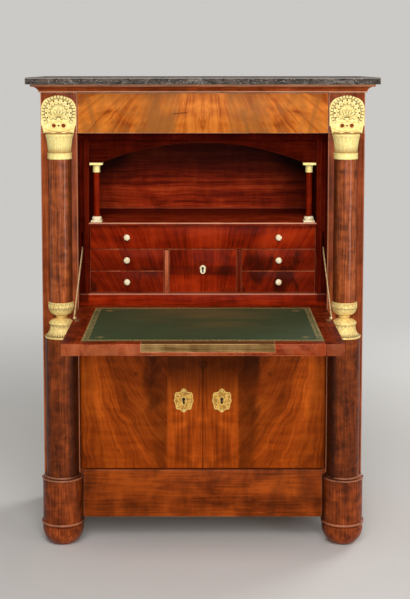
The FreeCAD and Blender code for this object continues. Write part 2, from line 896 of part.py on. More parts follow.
def interior():
    """The fitted writing interior."""
    rail_rear = nook_front + size.nook_rail_thick
    full = (-stile_inner, stile_inner)
    node(block("nook_bottom_rail", full, (nook_front, rail_rear), (deck_top, nook_floor_top)))
    floor_z = (nook_floor_top - size.nook_floor_thick, nook_floor_top)
    boards = [block("nook_floor", full, (rail_rear, back_face), floor_z)]
    behind_fronts = (drawer_rear, nook_back)
    for name, side in SIDES.items():
        runner_x = span(side, divider_outer, nook_half)
        boards.append(block("nook_runner_" + name, runner_x, behind_fronts, middle_runner))
    boards.append(block("nook_upper_runner", (-nook_half, nook_half), behind_fronts, upper_runner))
    node(group("nook_boards", boards))
    sides = []
    dividers = []
    strips = []
    for name, side in SIDES.items():
        walls = (nook_floor_top, dust_bottom)
        side_x = span(side, nook_half, nook_outer)
        strip_x = span(side, nook_outer, stile_inner)
        sides.append(block("nook_side_" + name, side_x, (shelf_front, nook_back), walls))
        dividers.append(block("nook_divider_" + name, span(side, size.divider_inner, divider_outer),
                              (drawer_face, nook_back), (nook_floor_top, upper_runner[0])))
        blank = block("stay_strip_blank_" + name, strip_x, (drawer_face, strip_rear), walls)
        slot_x = span(side, stay_inner - size.stay_slot_gap, stay_outer + size.stay_slot_gap)
        slot_y = (drawer_face - size.cut_overrun, strip_rear + size.cut_overrun)
        slot = block("stay_slot_" + name, slot_x, slot_y, (slot_bottom, slot_top))
        strips.append(cut("stay_strip_" + name, blank, [slot]))
    node(group("nook_sides", sides))
    node(group("nook_dividers", dividers))
    node(group("stay_strips", strips))
    node(block("nook_back", full, (nook_back, back_face), (nook_floor_top, dust_bottom)))
    shelf_x = (-nook_half, nook_half)
    node(block("nook_shelf", shelf_x, (shelf_front, nook_back), (shelf_bottom, shelf_top)))
    node(arch_board())
    colonnettes()


def arch_board():
    """The board over the niche, cut to a flat arch."""
    half = nook_half
    rise = size.arch_board_height - size.arch_crown
    outline = [
        (-half, 0),
        (-arch_half_span, 0),
        (arch_half_span, 0, rise / (arch_half_span * 2)),
        (half, 0),
        (half, size.arch_board_height),
        (-half, size.arch_board_height),
    ]
    where = (0, colonnette_y + size.arch_board_thick / 2, arch_spring)
    return prism("nook_arch", "XZ_Plane", [outline], size.arch_board_thick, where)


def colonnettes():
    """Two slim columns of the niche, each with its base and capital."""
    shafts = []
    bases = []
    capitals = []
    shaft_z = shelf_top + size.colonnette_base_height
    capital_z = arch_spring - size.colonnette_capital_height
    bell_height = size.colonnette_capital_height - size.colonnette_abacus
    ring_height = size.colonnette_base_height - size.colonnette_base_block
    flare_low = bell_height - size.colonnette_flare_height
    bell = [(0, 0), (size.colonnette_drum_radius, 0), (size.colonnette_drum_radius, flare_low),
            (size.colonnette_capital_radius, bell_height, FLARE_SHARE), (0, bell_height)]
    ring = [(0, 0), (size.colonnette_ring_radius, 0),
            (size.colonnette_ring_radius, ring_height, -BEAD_SHARE), (0, ring_height)]
    for name, side in SIDES.items():
        x = colonnette_x * side
        shafts.append(rod("colonnette_shaft_" + name, size.colonnette_radius, capital_z - shaft_z,
                          (x, colonnette_y, shaft_z), Vector(0, 0, 1)))
        bases.append(square_block("colonnette_plinth_" + name, x, size.colonnette_base_width,
                                  (shelf_top, shelf_top + size.colonnette_base_block)))
        bases.append(turned("colonnette_ring_" + name, ring,
                            (x, colonnette_y, shelf_top + size.colonnette_base_block)))
        capitals.append(turned("colonnette_bell_" + name, bell, (x, colonnette_y, capital_z)))
        capitals.append(square_block("colonnette_abacus_" + name, x, size.colonnette_capital_width,
                                     (arch_spring - size.colonnette_abacus, arch_spring)))
    node(group("colonnettes", shafts))
    node(group("colonnette_bases", bases))
    node(group("colonnette_capitals", capitals))


def square_block(label, x, width, z):
    """A square block centred on a colonnette."""
    half = width / 2
    return block(label, (x - half, x + half), (colonnette_y - half, colonnette_y + half), z)


def cupboard_shelf():
    """One shelf on two cleats."""
    top = plinth_top + (deck_bottom - plinth_top) * CUPBOARD_SHELF_SHARE
    bottom = top - size.cupboard_shelf_thick
    depth = (stile_back + size.cupboard_shelf_setback, back_face)
    members = [block("cupboard_shelf_board", (-stile_inner, stile_inner), depth, (bottom, top))]
    for name, side in SIDES.items():
        cleat_x = span(side, stile_inner - size.cleat_width, stile_inner)
        members.append(block("cupboard_cleat_" + name, cleat_x, depth, (bottom - size.cleat_height, bottom)))
    return group("cupboard_shelf", members)


def fall_section(front):
    """A slice of the fall from a front line to the rounded hinge edge, about the hinge axis."""
    half = size.fall_thick / 2
    flat_half = half - size.fall_edge_round
    return [
        (front, -half),
        (flat_half, -half),
        (half, -flat_half, -QUARTER_SHARE),
        (half, flat_half),
        (flat_half, half, -QUARTER_SHARE),
        (front, half),
    ]


def fall():
    """The fall: two stiles, two rails and a field under leather, with a strip let into its front edge."""
    members = []
    for name, side in SIDES.items():
        low = span(side, field_half, fall_half)[0]
        members.append(prism("fall_stile_" + name, "YZ_Plane", [fall_section(-size.fall_reach)],
                             size.fall_stile_width, (low, axis_y, axis_z)))
    back_line = size.fall_thick / 2 - size.fall_back_rail
    members.append(prism("fall_rail_back", "YZ_Plane", [fall_section(back_line)], field_half * 2,
                         (-field_half, axis_y, axis_z)))
    full = (-field_half, field_half)
    front_line = fall_front + size.fall_front_rail
    rail = block("fall_rail_blank", full, (fall_front, front_line), (fall_bottom, fall_top))
    strip_half = size.edge_strip_length / 2
    strip_x = (size.edge_strip_shift - strip_half, size.edge_strip_shift + strip_half)
    strip_bottom = fall_top - size.edge_strip_height
    strip_rear_line = fall_front + size.edge_strip_depth
    recess = block("fall_strip_recess", strip_x, (fall_front - size.cut_overrun, strip_rear_line),
                   (strip_bottom, fall_top + size.cut_overrun))
    members.append(cut("fall_rail_front", rail, [recess]))
    field_y = (front_line, axis_y + back_line)
    field_top = fall_top - size.leather_thick
    members.append(block("fall_field", full, field_y, (fall_bottom, field_top)))
    node(group("fall_panel", members))
    node(block("fall_leather", full, field_y, (field_top, fall_top)))
    node(block("fall_edge_strip", strip_x, (fall_front, strip_rear_line), (strip_bottom, fall_top)))
    fittings = []
    for name, side in SIDES.items():
        fittings.append(fall_pivot(name, side))
        fittings.append(stay_bracket(name, side))
    node(group("fall_fittings", fittings))


def fall_pivot(name, side):
    """A plate on the fall's edge with the pin that turns in the stile."""
    outward = Vector(side, 0, 0)
    plate = rod("fall_pivot_plate_" + name, size.pivot_plate_radius, size.pivot_plate_thick,
                (fall_half * side, axis_y, axis_z), outward)
    pin = rod("fall_pivot_pin_" + name, size.pivot_radius, stile_inner + size.pivot_depth - fall_half,
              (fall_half * side, axis_y, axis_z), outward)
    return fuse("fall_pivot_" + name, [plate, pin])


def stay_bracket(name, side):
    """A bracket on the fall: a foot, an ear and the pin of the stay."""
    ear_outer = stay_inner - size.stay_side_gap
    ear_low = span(side, ear_outer - size.bracket_ear_thick, ear_outer)[0]
    foot_half = size.bracket_foot_half
    outline = [
        (-foot_half, -size.stay_pin_lift),
        (foot_half, -size.stay_pin_lift),
        (size.bracket_ear_radius, 0),
        (-size.bracket_ear_radius, 0, -HALF_ROUND_SHARE),
    ]
    ear = prism("bracket_ear_" + name, "YZ_Plane", [outline], size.bracket_ear_thick, (ear_low, pin_y, pin_z))
    foot = block("bracket_foot_" + name, span(side, ear_outer - size.bracket_foot_width, ear_outer),
                 (pin_y - foot_half, pin_y + foot_half), (fall_top, fall_top + size.bracket_foot_thick))
    pin = rod("bracket_pin_" + name, size.stay_pin_radius, size.stay_thick + size.stay_side_gap * 2,
              (ear_outer * side, pin_y, pin_z), Vector(side, 0, 0))
    return fuse("stay_bracket_" + name, [ear, foot, pin])


def stay(name, side):
    """A flat bar from its eye on the bracket, through the strip, to the round stop behind it."""
    half = size.stay_height / 2
    outline = [
        (0, -half, -HALF_ROUND_SHARE),
        (stay_length, -half),
        (stay_length, half, -HALF_ROUND_SHARE),
        (0, half),
    ]
    low = span(side, stay_inner, stay_outer)[0]
    eye = ((0, 0), size.stay_pin_radius + size.running_gap)
    bar = prism("stay_bar_" + name, "YZ_Plane", [outline], size.stay_thick, (low, pin_y, pin_z), [eye])
    slope = math.degrees(math.atan(STAY_SLOPE_SHARE))
    bar.Placement = Placement(Vector(), Rotation(Vector(1, 0, 0), slope))
    run = stay_length / stay_stretch_share
    stop_x = low + size.stay_thick / 2 - size.stay_stop_width / 2
    stop = rod("stay_stop_" + name, size.stay_stop_radius, size.stay_stop_width,
               (stop_x, pin_y + run, pin_z + run * STAY_SLOPE_SHARE), Vector(1, 0, 0))
    return fuse("stay_" + name, [bar, stop])


def drawer_box(label, x, y, z, wall):
    """The box behind a drawer front: two sides, a back and a bottom."""
    inner = (x[0] + wall, x[1] - wall)
    back_line = y[1] - wall
    return [
        block(label + "_side_left", (x[0], inner[0]), y, z),
        block(label + "_side_right", (inner[1], x[1]), y, z),
        block(label + "_back", inner, (back_line, y[1]), z),
        block(label + "_bottom", inner, (y[0], back_line), (z[0], z[0] + size.drawer_floor)),
    ]


def knob(label, x, z):
    """A turned knob on a drawer front."""
    edge = size.knob_neck_length + (size.knob_length - size.knob_neck_length) * KNOB_EDGE_SHARE
    outline = [
        (0, 0),
        (size.knob_neck_radius, 0),
        (size.knob_neck_radius, size.knob_neck_length),
        (size.knob_radius, edge, -BEAD_SHARE),
        (size.knob_radius * KNOB_TIP_SHARE, size.knob_length, -BEAD_SHARE),
        (0, size.knob_length),
    ]
    return turned(label, outline, (x, drawer_face, z), facing=Vector(0, -1, 0))


def nook_drawers():
    """The drawers of the writing interior."""
    front_y = (drawer_face, drawer_rear)
    box_y = (drawer_rear, nook_back - size.drawer_back_gap)
    floor_gap = size.drawer_slide_gap
    wide_half = nook_half - size.drawer_gap
    wide_x = (-wide_half, wide_half)
    wide_z = (upper_runner[1] + floor_gap, shelf_bottom - size.drawer_gap)
    node(block("wide_drawer_front", wide_x, front_y, (wide_drawer_bottom, wide_drawer_top)))
    node(group("wide_drawer_box", drawer_box("wide_drawer", wide_x, box_y, wide_z, size.drawer_wall)))
    wide_middle = (wide_drawer_bottom + wide_drawer_top) / 2
    knobs = [knob("wide_knob_" + name, knob_x * side, wide_middle) for name, side in SIDES.items()]
    node(group("wide_drawer_knobs", knobs))
    inner = divider_outer + size.drawer_gap
    rows = {
        "upper": ((upper_drawer_bottom, upper_drawer_top), (middle_runner[1], upper_runner[0])),
        "lower": ((lower_drawer_bottom, lower_drawer_top), (nook_floor_top, middle_runner[0])),
    }
    for row_name, (front_z, room) in rows.items():
        for name, side in SIDES.items():
            label = "small_drawer_%s_%s" % (row_name, name)
            x = span(side, inner, wide_half)
            front = block(label + "_front", x, front_y, front_z)
            box_z = (room[0] + floor_gap, room[1] - size.drawer_gap)
            node(group(label, [front] + drawer_box(label, x, box_y, box_z, size.drawer_wall)))
            node(knob("knob_%s_%s" % (row_name, name), knob_x * side, (front_z[0] + front_z[1]) / 2))
    half = size.divider_inner - size.drawer_gap
    centre_x = (-half, half)
    centre_z = (nook_floor_top + floor_gap, upper_runner[0] - size.drawer_gap)
    node(block("centre_drawer_front", centre_x, front_y, (lower_drawer_bottom, upper_drawer_top)))
    node(group("centre_drawer_box", drawer_box("centre_drawer", centre_x, box_y, centre_z, size.drawer_wall)))
    shield = shield_loops(size.key_plate_width, size.key_plate_height)
    level = (lower_drawer_bottom + upper_drawer_top) / 2 + size.key_plate_rise
    node(prism("centre_drawer_key_plate", "XZ_Plane", shield, size.key_plate_thick, (0, drawer_face, level)))


def frieze_drawer():
    """The drawer in the frieze, with no pull: it opens by its lower edge."""
    half = stile_inner - size.drawer_gap
    x = (-half, half)
    front_rear = case_front + size.frieze_front_thick
    top = frieze_top - size.drawer_gap
    node(block("frieze_drawer_front", x, (case_front, front_rear), (frieze_bottom, top)))
    box_y = (front_rear, back_face - size.drawer_back_gap)
    box_z = (dust_top + size.drawer_slide_gap, top)
    node(group("frieze_drawer_box", drawer_box("frieze_drawer", x, box_y, box_z, size.frieze_wall)))


def door_pivot(label, side, level, direction):
    """A plate on a door's end with the pin that turns in the deck or the plinth rail."""
    start = (door_axis_x * side, door_axis_y, level)
    aim = Vector(0, 0, direction)
    plate = rod(label + "_plate", size.door_plate_radius, size.door_plate_thick, start, aim)
    pin = rod(label + "_pin", size.door_pivot_radius, size.door_gap + size.pivot_depth, start, aim)
    return fuse(label, [plate, pin])


def door(name, side):
    """A door with a half-round hinge edge, its escutcheon and its pivots."""
    inner = size.door_meeting_gap / 2 * side
    axis = door_axis_x * side
    outline = [
        (inner, door_face),
        (axis, door_face),
        (axis, door_rear, -HALF_ROUND_SHARE * side),
        (inner, door_rear),
    ]
    node(prism("door_" + name, "XY_Plane", [outline], size.door_height, (0, 0, door_bottom)))
    level = (door_bottom + door_top) / 2 - size.escutcheon_drop
    shield = lobed_shield_loops(size.escutcheon_width, size.escutcheon_height)
    plate = prism("escutcheon_" + name, "XZ_Plane", shield, size.escutcheon_thick,
                  (size.escutcheon_inset * side, door_face, level))
    upper = door_pivot("door_pivot_upper_" + name, side, door_top, 1)
    lower = door_pivot("door_pivot_lower_" + name, side, door_bottom, -1)
    node(group("door_fittings_" + name, [plate, upper, lower]))


def save_parts():
    """Check every object, then write one file for each sub-part."""
    doc.recompute()
    failed = [item.Label for item in doc.Objects if {"Invalid", "Error"} & set(item.State)]
    for item in nodes:
        if item.Shape.isNull() or not item.Shape.isValid():
            failed.append(item.Label)
    if failed:
        raise RuntimeError("failed objects: " + ", ".join(failed))
    os.makedirs("parts", exist_ok=True)
    for item in nodes:
        item.Shape.exportStep("parts/%s.step" % item.Label)
    print("%d sub-parts, %d solids" % (len(nodes), sum(len(item.Shape.Solids) for item in nodes)))


node(marble_top())
node(cornice())
case_boards()
back()
front_frame()
columns()
interior()
node(cupboard_shelf())
fall()
for name, side in SIDES.items():
    node(stay(name, side))
nook_drawers()
frieze_drawer()
for name, side in SIDES.items():
    door(name, side)
save_parts()
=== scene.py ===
"""Dresses the escritoire: figured veneer, marble, gilt mounts, tooled leather, bone and brass."""
import json
import logging
import math
from dataclasses import dataclass, replace
from enum import Enum
from typing import Any, Callable, Mapping, Sequence

import bmesh
import bpy
from mathutils import Matrix, Vector

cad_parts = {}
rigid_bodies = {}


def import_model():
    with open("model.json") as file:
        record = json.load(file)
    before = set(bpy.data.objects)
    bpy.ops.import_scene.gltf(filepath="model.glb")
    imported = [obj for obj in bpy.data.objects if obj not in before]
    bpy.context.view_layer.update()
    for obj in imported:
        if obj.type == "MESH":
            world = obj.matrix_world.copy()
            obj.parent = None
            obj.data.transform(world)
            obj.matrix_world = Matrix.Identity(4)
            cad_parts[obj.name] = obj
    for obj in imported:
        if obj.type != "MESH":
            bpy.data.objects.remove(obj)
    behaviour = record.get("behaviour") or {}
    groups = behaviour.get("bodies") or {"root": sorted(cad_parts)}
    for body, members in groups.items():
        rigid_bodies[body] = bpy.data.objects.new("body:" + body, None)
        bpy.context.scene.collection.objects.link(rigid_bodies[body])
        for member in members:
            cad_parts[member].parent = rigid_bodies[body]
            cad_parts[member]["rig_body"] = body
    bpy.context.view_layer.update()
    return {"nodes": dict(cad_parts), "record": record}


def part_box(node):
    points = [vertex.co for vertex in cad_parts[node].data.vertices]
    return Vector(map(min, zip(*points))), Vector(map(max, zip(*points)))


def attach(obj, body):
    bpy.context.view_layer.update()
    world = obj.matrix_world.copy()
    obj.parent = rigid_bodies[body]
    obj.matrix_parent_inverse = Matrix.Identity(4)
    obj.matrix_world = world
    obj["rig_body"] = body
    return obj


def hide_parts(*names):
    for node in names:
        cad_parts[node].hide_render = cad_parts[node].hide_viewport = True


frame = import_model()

SLOTS = {part["node"]: part["material_slot"] for part in frame["record"]["subparts"]}
LOG = logging.getLogger("escritoire")
SIDES = {"left": -1, "right": 1}
CORNERS = [f"{level}_{side}" for level in ("upper", "lower") for side in SIDES]

Colour = tuple[float, float, float, float]
Spot = tuple[float, float]
Place = tuple[float, float, float]
Curve = Callable[[float], float]


def tint(red: int, green: int, blue: int) -> Colour:
    """Turns a colour of 0 to 255 a channel into linear light.

    Args:
        red: the red channel.
        green: the green channel.
        blue: the blue channel.

    Returns:
        The linear colour, opaque.
    """
    shares = [channel / 255 for channel in (red, green, blue)]
    lit = [share / 12.92 if share <= 0.04045 else ((share + 0.055) / 1.055) ** 2.4 for share in shares]
    return lit[0], lit[1], lit[2], 1.0


def operator(operation: str, swapped: bool = False) -> Callable[..., "Wire"]:
    """Makes an operator of Wire out of one Math operation.

    Args:
        operation: the Math node's operation.
        swapped: whether the wire comes last, as in 1 - wire.

    Returns:
        The operator.
    """

    def apply(wire: "Wire", *others: "Wire | float") -> "Wire":
        """Adds the Math node."""
        terms = (*others, wire) if swapped else (wire, *others)
        return wire.recipe.node("ShaderNodeMath", {"operation": operation}, dict(enumerate(terms)))

    return apply


class Wire:
    """One value of a node tree, for use in Python sums."""

    __add__, __radd__ = operator("ADD"), operator("ADD", swapped=True)
    __sub__, __rsub__ = operator("SUBTRACT"), operator("SUBTRACT", swapped=True)
    __mul__, __rmul__ = operator("MULTIPLY"), operator("MULTIPLY", swapped=True)
    __truediv__, __rtruediv__ = operator("DIVIDE"), operator("DIVIDE", swapped=True)
    __abs__ = operator("ABSOLUTE")
    root, wave = operator("SQRT"), operator("SINE")
    least, most = operator("MINIMUM"), operator("MAXIMUM")

    def __init__(self, recipe: "Recipe", socket: bpy.types.NodeSocket) -> None:
        """Keeps the socket and the recipe that it belongs to."""
        self.recipe = recipe
        self.socket = socket

    def step(self, low: float, high: float) -> "Wire":
        """Rises smoothly, or falls where high is below low.

        Args:
            low: where the step is 0.
            high: where it is 1.

        Returns:
            The smooth step.
        """
        ends = {1: min(low, high), 2: max(low, high), 3: float(high < low), 4: float(high >= low)}
        return self.recipe.node("ShaderNodeMapRange", {"interpolation_type": "SMOOTHSTEP"}, {0: self, **ends})

    def line(self, centre: float, half: float) -> "Wire":
        """Returns 1 on a thin line about the centre and 0 beside it."""
        return abs(self - centre).step(half * 1.3, half * 0.7)

    def distance(self, other: "Wire") -> "Wire":
        """Returns the length of two values that lie at right angles."""
        return (self * self + other * other).root()


Wires = tuple[Wire, Wire, Wire]


class Recipe:
    """The nodes that make a material or a world."""

    def __init__(self, name: str, kind: str = "materials") -> None:
        """Starts an empty tree.

        Args:
            name: the name of the material or world.
            kind: which of the two it is, materials or worlds.
        """
        self.owner = getattr(bpy.data, kind).new(name)
        self.owner.use_nodes = True
        self.tree = self.owner.node_tree
        self.tree.nodes.clear()

    def node(
        self,
        kind: str,
        settings: Mapping[str, Any],
        sockets: Mapping[int | str, Any],
        output: int | str = 0,
    ) -> Wire:
        """Adds one node.

        Args:
            kind: the node's type.
            settings: its settings, with a ramp's stops under "stops".
            sockets: a value or a wire for each input named.
            output: the output to hand on.

        Returns:
            The chosen output.
        """
        made = self.tree.nodes.new(kind)
        for key, value in settings.items():
            if key == "stops":
                self._set_stops(made.color_ramp, value)
            else:
                setattr(made, key, value)
        for key, value in sockets.items():
            if isinstance(value, Wire):
                self.tree.links.new(value.socket, made.inputs[key])
            else:
                made.inputs[key].default_value = value
        return Wire(self, made.outputs[output]) if made.outputs else Wire(self, made.inputs[0])

    @staticmethod
    def _set_stops(ramp: bpy.types.ColorRamp, stops: Sequence[tuple[float, Colour]]) -> None:
        """Writes a ramp's stops.

        Args:
            ramp: the ramp.
            stops: the place and colour of each stop.
        """
        while len(ramp.elements) < len(stops):
            ramp.elements.new(1.0)
        for element, (place, colour) in zip(ramp.elements, stops):
            element.position = place
            element.color = colour

    def place(self) -> Wires:
        """Returns the three Object coordinates."""
        spot = self.node("ShaderNodeTexCoord", {}, {}, "Object")
        split = self.node("ShaderNodeSeparateXYZ", {}, {0: spot})
        return tuple(Wire(self, output) for output in split.socket.node.outputs)

    def seen(self) -> Wire:
        """Returns 1 where the camera, a reflection or clear glass looks, and 0 where light falls."""
        kinds = ("Camera", "Glossy", "Transmission")
        camera, glossy, clear = [self.node("ShaderNodeLightPath", {}, {}, f"Is {kind} Ray") for kind in kinds]
        return camera.most(glossy).most(clear)

    def attribute(self, name: str) -> Wire:
        """Returns a number kept on the mesh."""
        return self.node("ShaderNodeAttribute", {"attribute_name": name}, {}, "Fac")

    def vector(self, spot: Sequence[Wire | float]) -> Wire:
        """Joins three values."""
        return self.node("ShaderNodeCombineXYZ", {}, dict(enumerate(spot)))

    def noise(self, spot: Sequence[Wire | float], detail: float = 2.0, twist: float = 0.0) -> Wire:
        """Returns soft noise of unit scale at a spot."""
        sockets = {"Vector": self.vector(spot), "Scale": 1.0, "Detail": detail, "Distortion": twist}
        return self.node("ShaderNodeTexNoise", {}, sockets)

    def cells(self, spot: Sequence[Wire | float]) -> Wire:
        """Returns the distance to the nearest of scattered points."""
        return self.node("ShaderNodeTexVoronoi", {}, {"Vector": self.vector(spot), "Scale": 1.0})

    def ramp(self, value: Wire, stops: Sequence[tuple[float, Colour]]) -> Wire:
        """Turns a value into a colour."""
        return self.node("ShaderNodeValToRGB", {"stops": stops}, {0: value})

    def mix(self, share: Wire, first: Wire | Colour, second: Wire | Colour) -> Wire:
        """Mixes two colours."""
        return self.node("ShaderNodeMix", {"data_type": "RGBA"}, {0: share, 6: first, 7: second}, 2)

    def bump(self, height: Wire, depth: float) -> Wire:
        """Returns a normal for a relief of that depth in metres."""
        return self.node("ShaderNodeBump", {}, {"Height": height, "Distance": depth, "Strength": 0.6})

    def surface(self, **sockets: Any) -> bpy.types.Material:
        """Ends the material in one shader.

        Args:
            sockets: the shader's inputs, with _ for a blank in a name.

        Returns:
            The finished material.
        """
        named = {key.replace("_", " "): value for key, value in sockets.items()}
        shader = self.node("ShaderNodeBsdfPrincipled", {}, named)
        self.node("ShaderNodeOutputMaterial", {}, {"Surface": shader})
        return self.owner


class Finish:
    """What a surface is made of."""

    name: str

    def material(self) -> bpy.types.Material:
        """Returns the finish's material, made once."""
        return bpy.data.materials.get(self.name) or self._make()

    def _make(self) -> bpy.types.Material:
        """Builds the material."""
        raise NotImplementedError


class Axis(Enum):
    """The way that a board's grain runs."""

    ACROSS = 0
    DEEP = 1
    UPRIGHT = 2


class Figure(Enum):
    """The figure of a veneer."""

    STRAIGHT = "straight"
    DOOR_FLAME = "door flame"
    FRIEZE_FAN = "frieze fan"
    DRAWER_FAN = "drawer fan"
    CLOUD = "cloud"
    NICHE_WAVES = "niche waves"
    FALL_EDGE = "fall edge"
    FALL_FLAME = "fall flame"
    STRIP_TOP = "strip top"
    DIVIDERS = "dividers"
    TURNED = "turned"
    RAIL = "rail"


# Places on the desk that the veneers have to know, in metres
DOOR_LOW, DOOR_TALL = 0.225, 0.433
STRIP_EDGE = (0.1055, 0.1065)
DOOR_KNOT, DOOR_RING = (0.2, 0.513), (0.001, 0.542)
FRIEZE_LOW, FRIEZE_TALL = 1.2335, 0.118
FRIEZE_CRACK = (-0.066, 1.2977)
NICHE_SIDE = (0.108, 0.12)
FALL_DEEP = 0.47
FALL_TIP = (0.4736, 0.4746)

# How fine each kind of grain is, and how far it moves from one board to the next
FIBRES, PORES, BLOTCHES, WISPS = 240.0, 1300.0, 10.0, 16.0
BOARD_SHIFTS = (1.9, 3.7)

# How rough the polish is, and how deep the grain and pores are felt in it
POLISH = 0.16
GRAIN_DEPTH = 0.0002


@dataclass(frozen=True)
class Timber(Finish):
    """A polished wood.

    Attributes:
        name: the material's name.
        pale: the lightest tone.
        mid: the middle tone.
        deep: the darkest tone, which the pores share.
        shadow: the tone that the figure darkens to, and the tone of painted shade.
        grain: the way that the grain runs.
        figure: the veneer's figure.
        bands: how close the growth bands lie.
        stripe: how strongly the bands show.
        mottle: how strongly the clouds show.
        fibre: how strongly the fibres show.
        ripple: how strongly the ripple across the grain shows.
        gloss: the least roughness.
        coat: the weight of the polish.
        shine: the level of the bare wood's reflection.
        blotch: how fine the clouds are.
        rubbed: the tone of the rubbed lines, which are partly wear and partly painted highlight.
        flaw: the tone of cracks, knots and stains.
        rubbed_at: the level and half width of each rubbed line of wear and painted highlight.
        rubbed_sides: the place, half width and foot of each rubbed upright of wear and painted highlight.
        flank: where a turning's inner side is lit and where it is dark with painted shade.
    """

    name: str
    pale: Colour
    mid: Colour
    deep: Colour
    shadow: Colour
    grain: Axis = Axis.UPRIGHT
    figure: Figure = Figure.STRAIGHT
    bands: float = 20.0
    stripe: float = 0.7
    mottle: float = 0.8
    fibre: float = 0.8
    ripple: float = 0.3
    gloss: float = 0.30
    coat: float = 0.03
    shine: float = 0.05
    blotch: float = 1.0
    rubbed: Colour = tint(198, 140, 112)
    flaw: Colour = tint(54, 22, 6)
    rubbed_at: tuple[Spot, ...] = ()
    rubbed_sides: tuple[Place, ...] = ()
    flank: Spot = (0.402, 0.384)

    def like(self, name: str, *tones: tuple[int, int, int], **changes: Any) -> "Timber":
        """Makes another wood out of this one.

        Args:
            name: the new wood's name.
            tones: its tones from pale to shadow, as far as they change.
            changes: other fields that change.

        Returns:
            The new wood.
        """
        fields = dict(zip(("pale", "mid", "deep", "shadow"), [tint(*tone) for tone in tones]))
        return replace(self, name=name, **fields, **changes)

    def along(self, grain: Axis) -> "Timber":
        """Returns the same wood with its grain another way."""
        return self.like(f"{self.name}_{grain.name.lower()}", grain=grain)

    def _make(self) -> bpy.types.Material:
        """Builds the material.

        Returns:
            The finished material.
        """
        recipe = Recipe(self.name)
        place = recipe.place()
        board = recipe.attribute("board")
        others = [place[i] for i in range(3) if i != self.grain.value]
        run, side, shade = self._lines(recipe, place, place[self.grain.value], others[0])
        deep = others[1] + board * BOARD_SHIFTS[0]
        side = side + board * BOARD_SHIFTS[1]
        side = side + (recipe.noise((run * 2.6, side * 6.0, deep * 6.0)) - 0.5) * 0.03

        def drawn(length: float, width: float, detail: float, twist: float = 0.0) -> Wire:
            """Returns noise drawn out along the grain."""
            return recipe.noise((run * length, side * width, deep * width), detail, twist)

        band = drawn(1.3, self.bands, 3.0)
        fibre = drawn(8.0, FIBRES, 2.0)
        cloud = drawn(BLOTCHES * self.blotch, BLOTCHES * self.blotch, 3.0, 0.8)
        ripple = drawn(55.0, 14.0, 2.0)
        pores = drawn(40.0, PORES, 1.0)
        tone = (band - 0.5) * self.stripe + (fibre - 0.5) * self.fibre + (cloud - 0.5) * self.mottle
        tone = tone + (ripple - 0.5) * self.ripple + board * 0.12 + 0.45
        colour = recipe.ramp(tone, ((0.22, self.deep), (0.5, self.mid), (0.8, self.pale)))
        colour = recipe.mix(shade, colour, self.shadow)
        colour = recipe.mix(pores.step(0.58, 0.74) * 0.35, colour, self.deep)
        flaws = self._flaws(place[0], place[2])
        if flaws is not None:
            colour = recipe.mix(flaws, colour, self.flaw)
        # The rubbed lines: pale lines that are partly wear and partly painted highlight along edges and rings
        wear = (cloud * 0.6 + 0.4) * (1.0 - shade)
        for level, half in self.rubbed_at:
            colour = recipe.mix(place[2].line(level, half) * wear, colour, self.rubbed)
        for spread, half, foot in self.rubbed_sides:
            above = place[2].step(foot - 0.004, foot)
            colour = recipe.mix(abs(place[0]).line(spread, half) * above * wear, colour, self.rubbed)
        return recipe.surface(
            Base_Color=colour,
            Roughness=self.gloss + fibre * 0.12 + cloud * 0.08,
            Coat_Weight=self.coat,
            Coat_Roughness=POLISH,
            Normal=recipe.bump(fibre + pores * -0.6, GRAIN_DEPTH),
            Specular_IOR_Level=self.shine,
        )

    def _lines(self, recipe: Recipe, place: Wires, run: Wire, side: Wire) -> Wires:
        """Bends the grain into the veneer's figure.

        Args:
            recipe: the material.
            place: the Object coordinates.
            run: the way along straight grain.
            side: the way across straight grain.

        Returns:
            The way along the figure, the way across it, and where it darkens.
        """
        x, y, z = place
        spread = abs(x)
        wisp = WISPS * self.blotch
        smoke = recipe.noise((x * wisp, y * wisp, z * wisp * 0.6), 4.0, 0.6)
        match self.figure:
            case Figure.DOOR_FLAME:
                return self._door_flame(z, spread, smoke)
            case Figure.FALL_FLAME:
                return self._fall_flame(y, spread, smoke)
            case Figure.FRIEZE_FAN:
                return self._frieze_fan(z, spread, smoke)
            case Figure.DRAWER_FAN:
                return self._drawer_fan(x, z, smoke)
            case Figure.NICHE_WAVES:
                # The niche back: painted shade under the arch at the top and towards the sides
                swell = recipe.noise((x * 4.0, z * 9.0, 0.0), 2.0) - 0.5
                run, side = x, z + swell * 0.035
                shade = (z.step(1.02, 1.14) * 0.85 + spread.step(0.2, 0.35) * 0.45).least(1.0)
            case Figure.FALL_EDGE:
                shade = (0.0 - y).step(*FALL_TIP) * (x.step(0.2, -0.1) * 0.36 + smoke.step(0.35, 0.7) * 0.42)
            case Figure.STRIP_TOP:
                shade = y.step(-FALL_TIP[1], -FALL_TIP[0])
            case Figure.DIVIDERS:
                shade = x.step(-0.02, 0.02)
            # The bottom rail: painted shade at its ends, in the recess beside the nook sides
            case Figure.RAIL:
                shade = spread.step(0.338, 0.346) * z.step(0.712, 0.732) * 0.8
            # Turnings: soft clouds, and painted shade on the inner flank
            case Figure.TURNED:
                shade = (smoke.step(0.45, 0.8) * 0.32 + spread.step(*self.flank) * 0.8).least(0.95)
            case Figure.CLOUD:
                shade = smoke.step(0.45, 0.75) * 0.5
            case _:
                shade = smoke.step(0.56, 0.8) * 0.45
        return run, side, shade

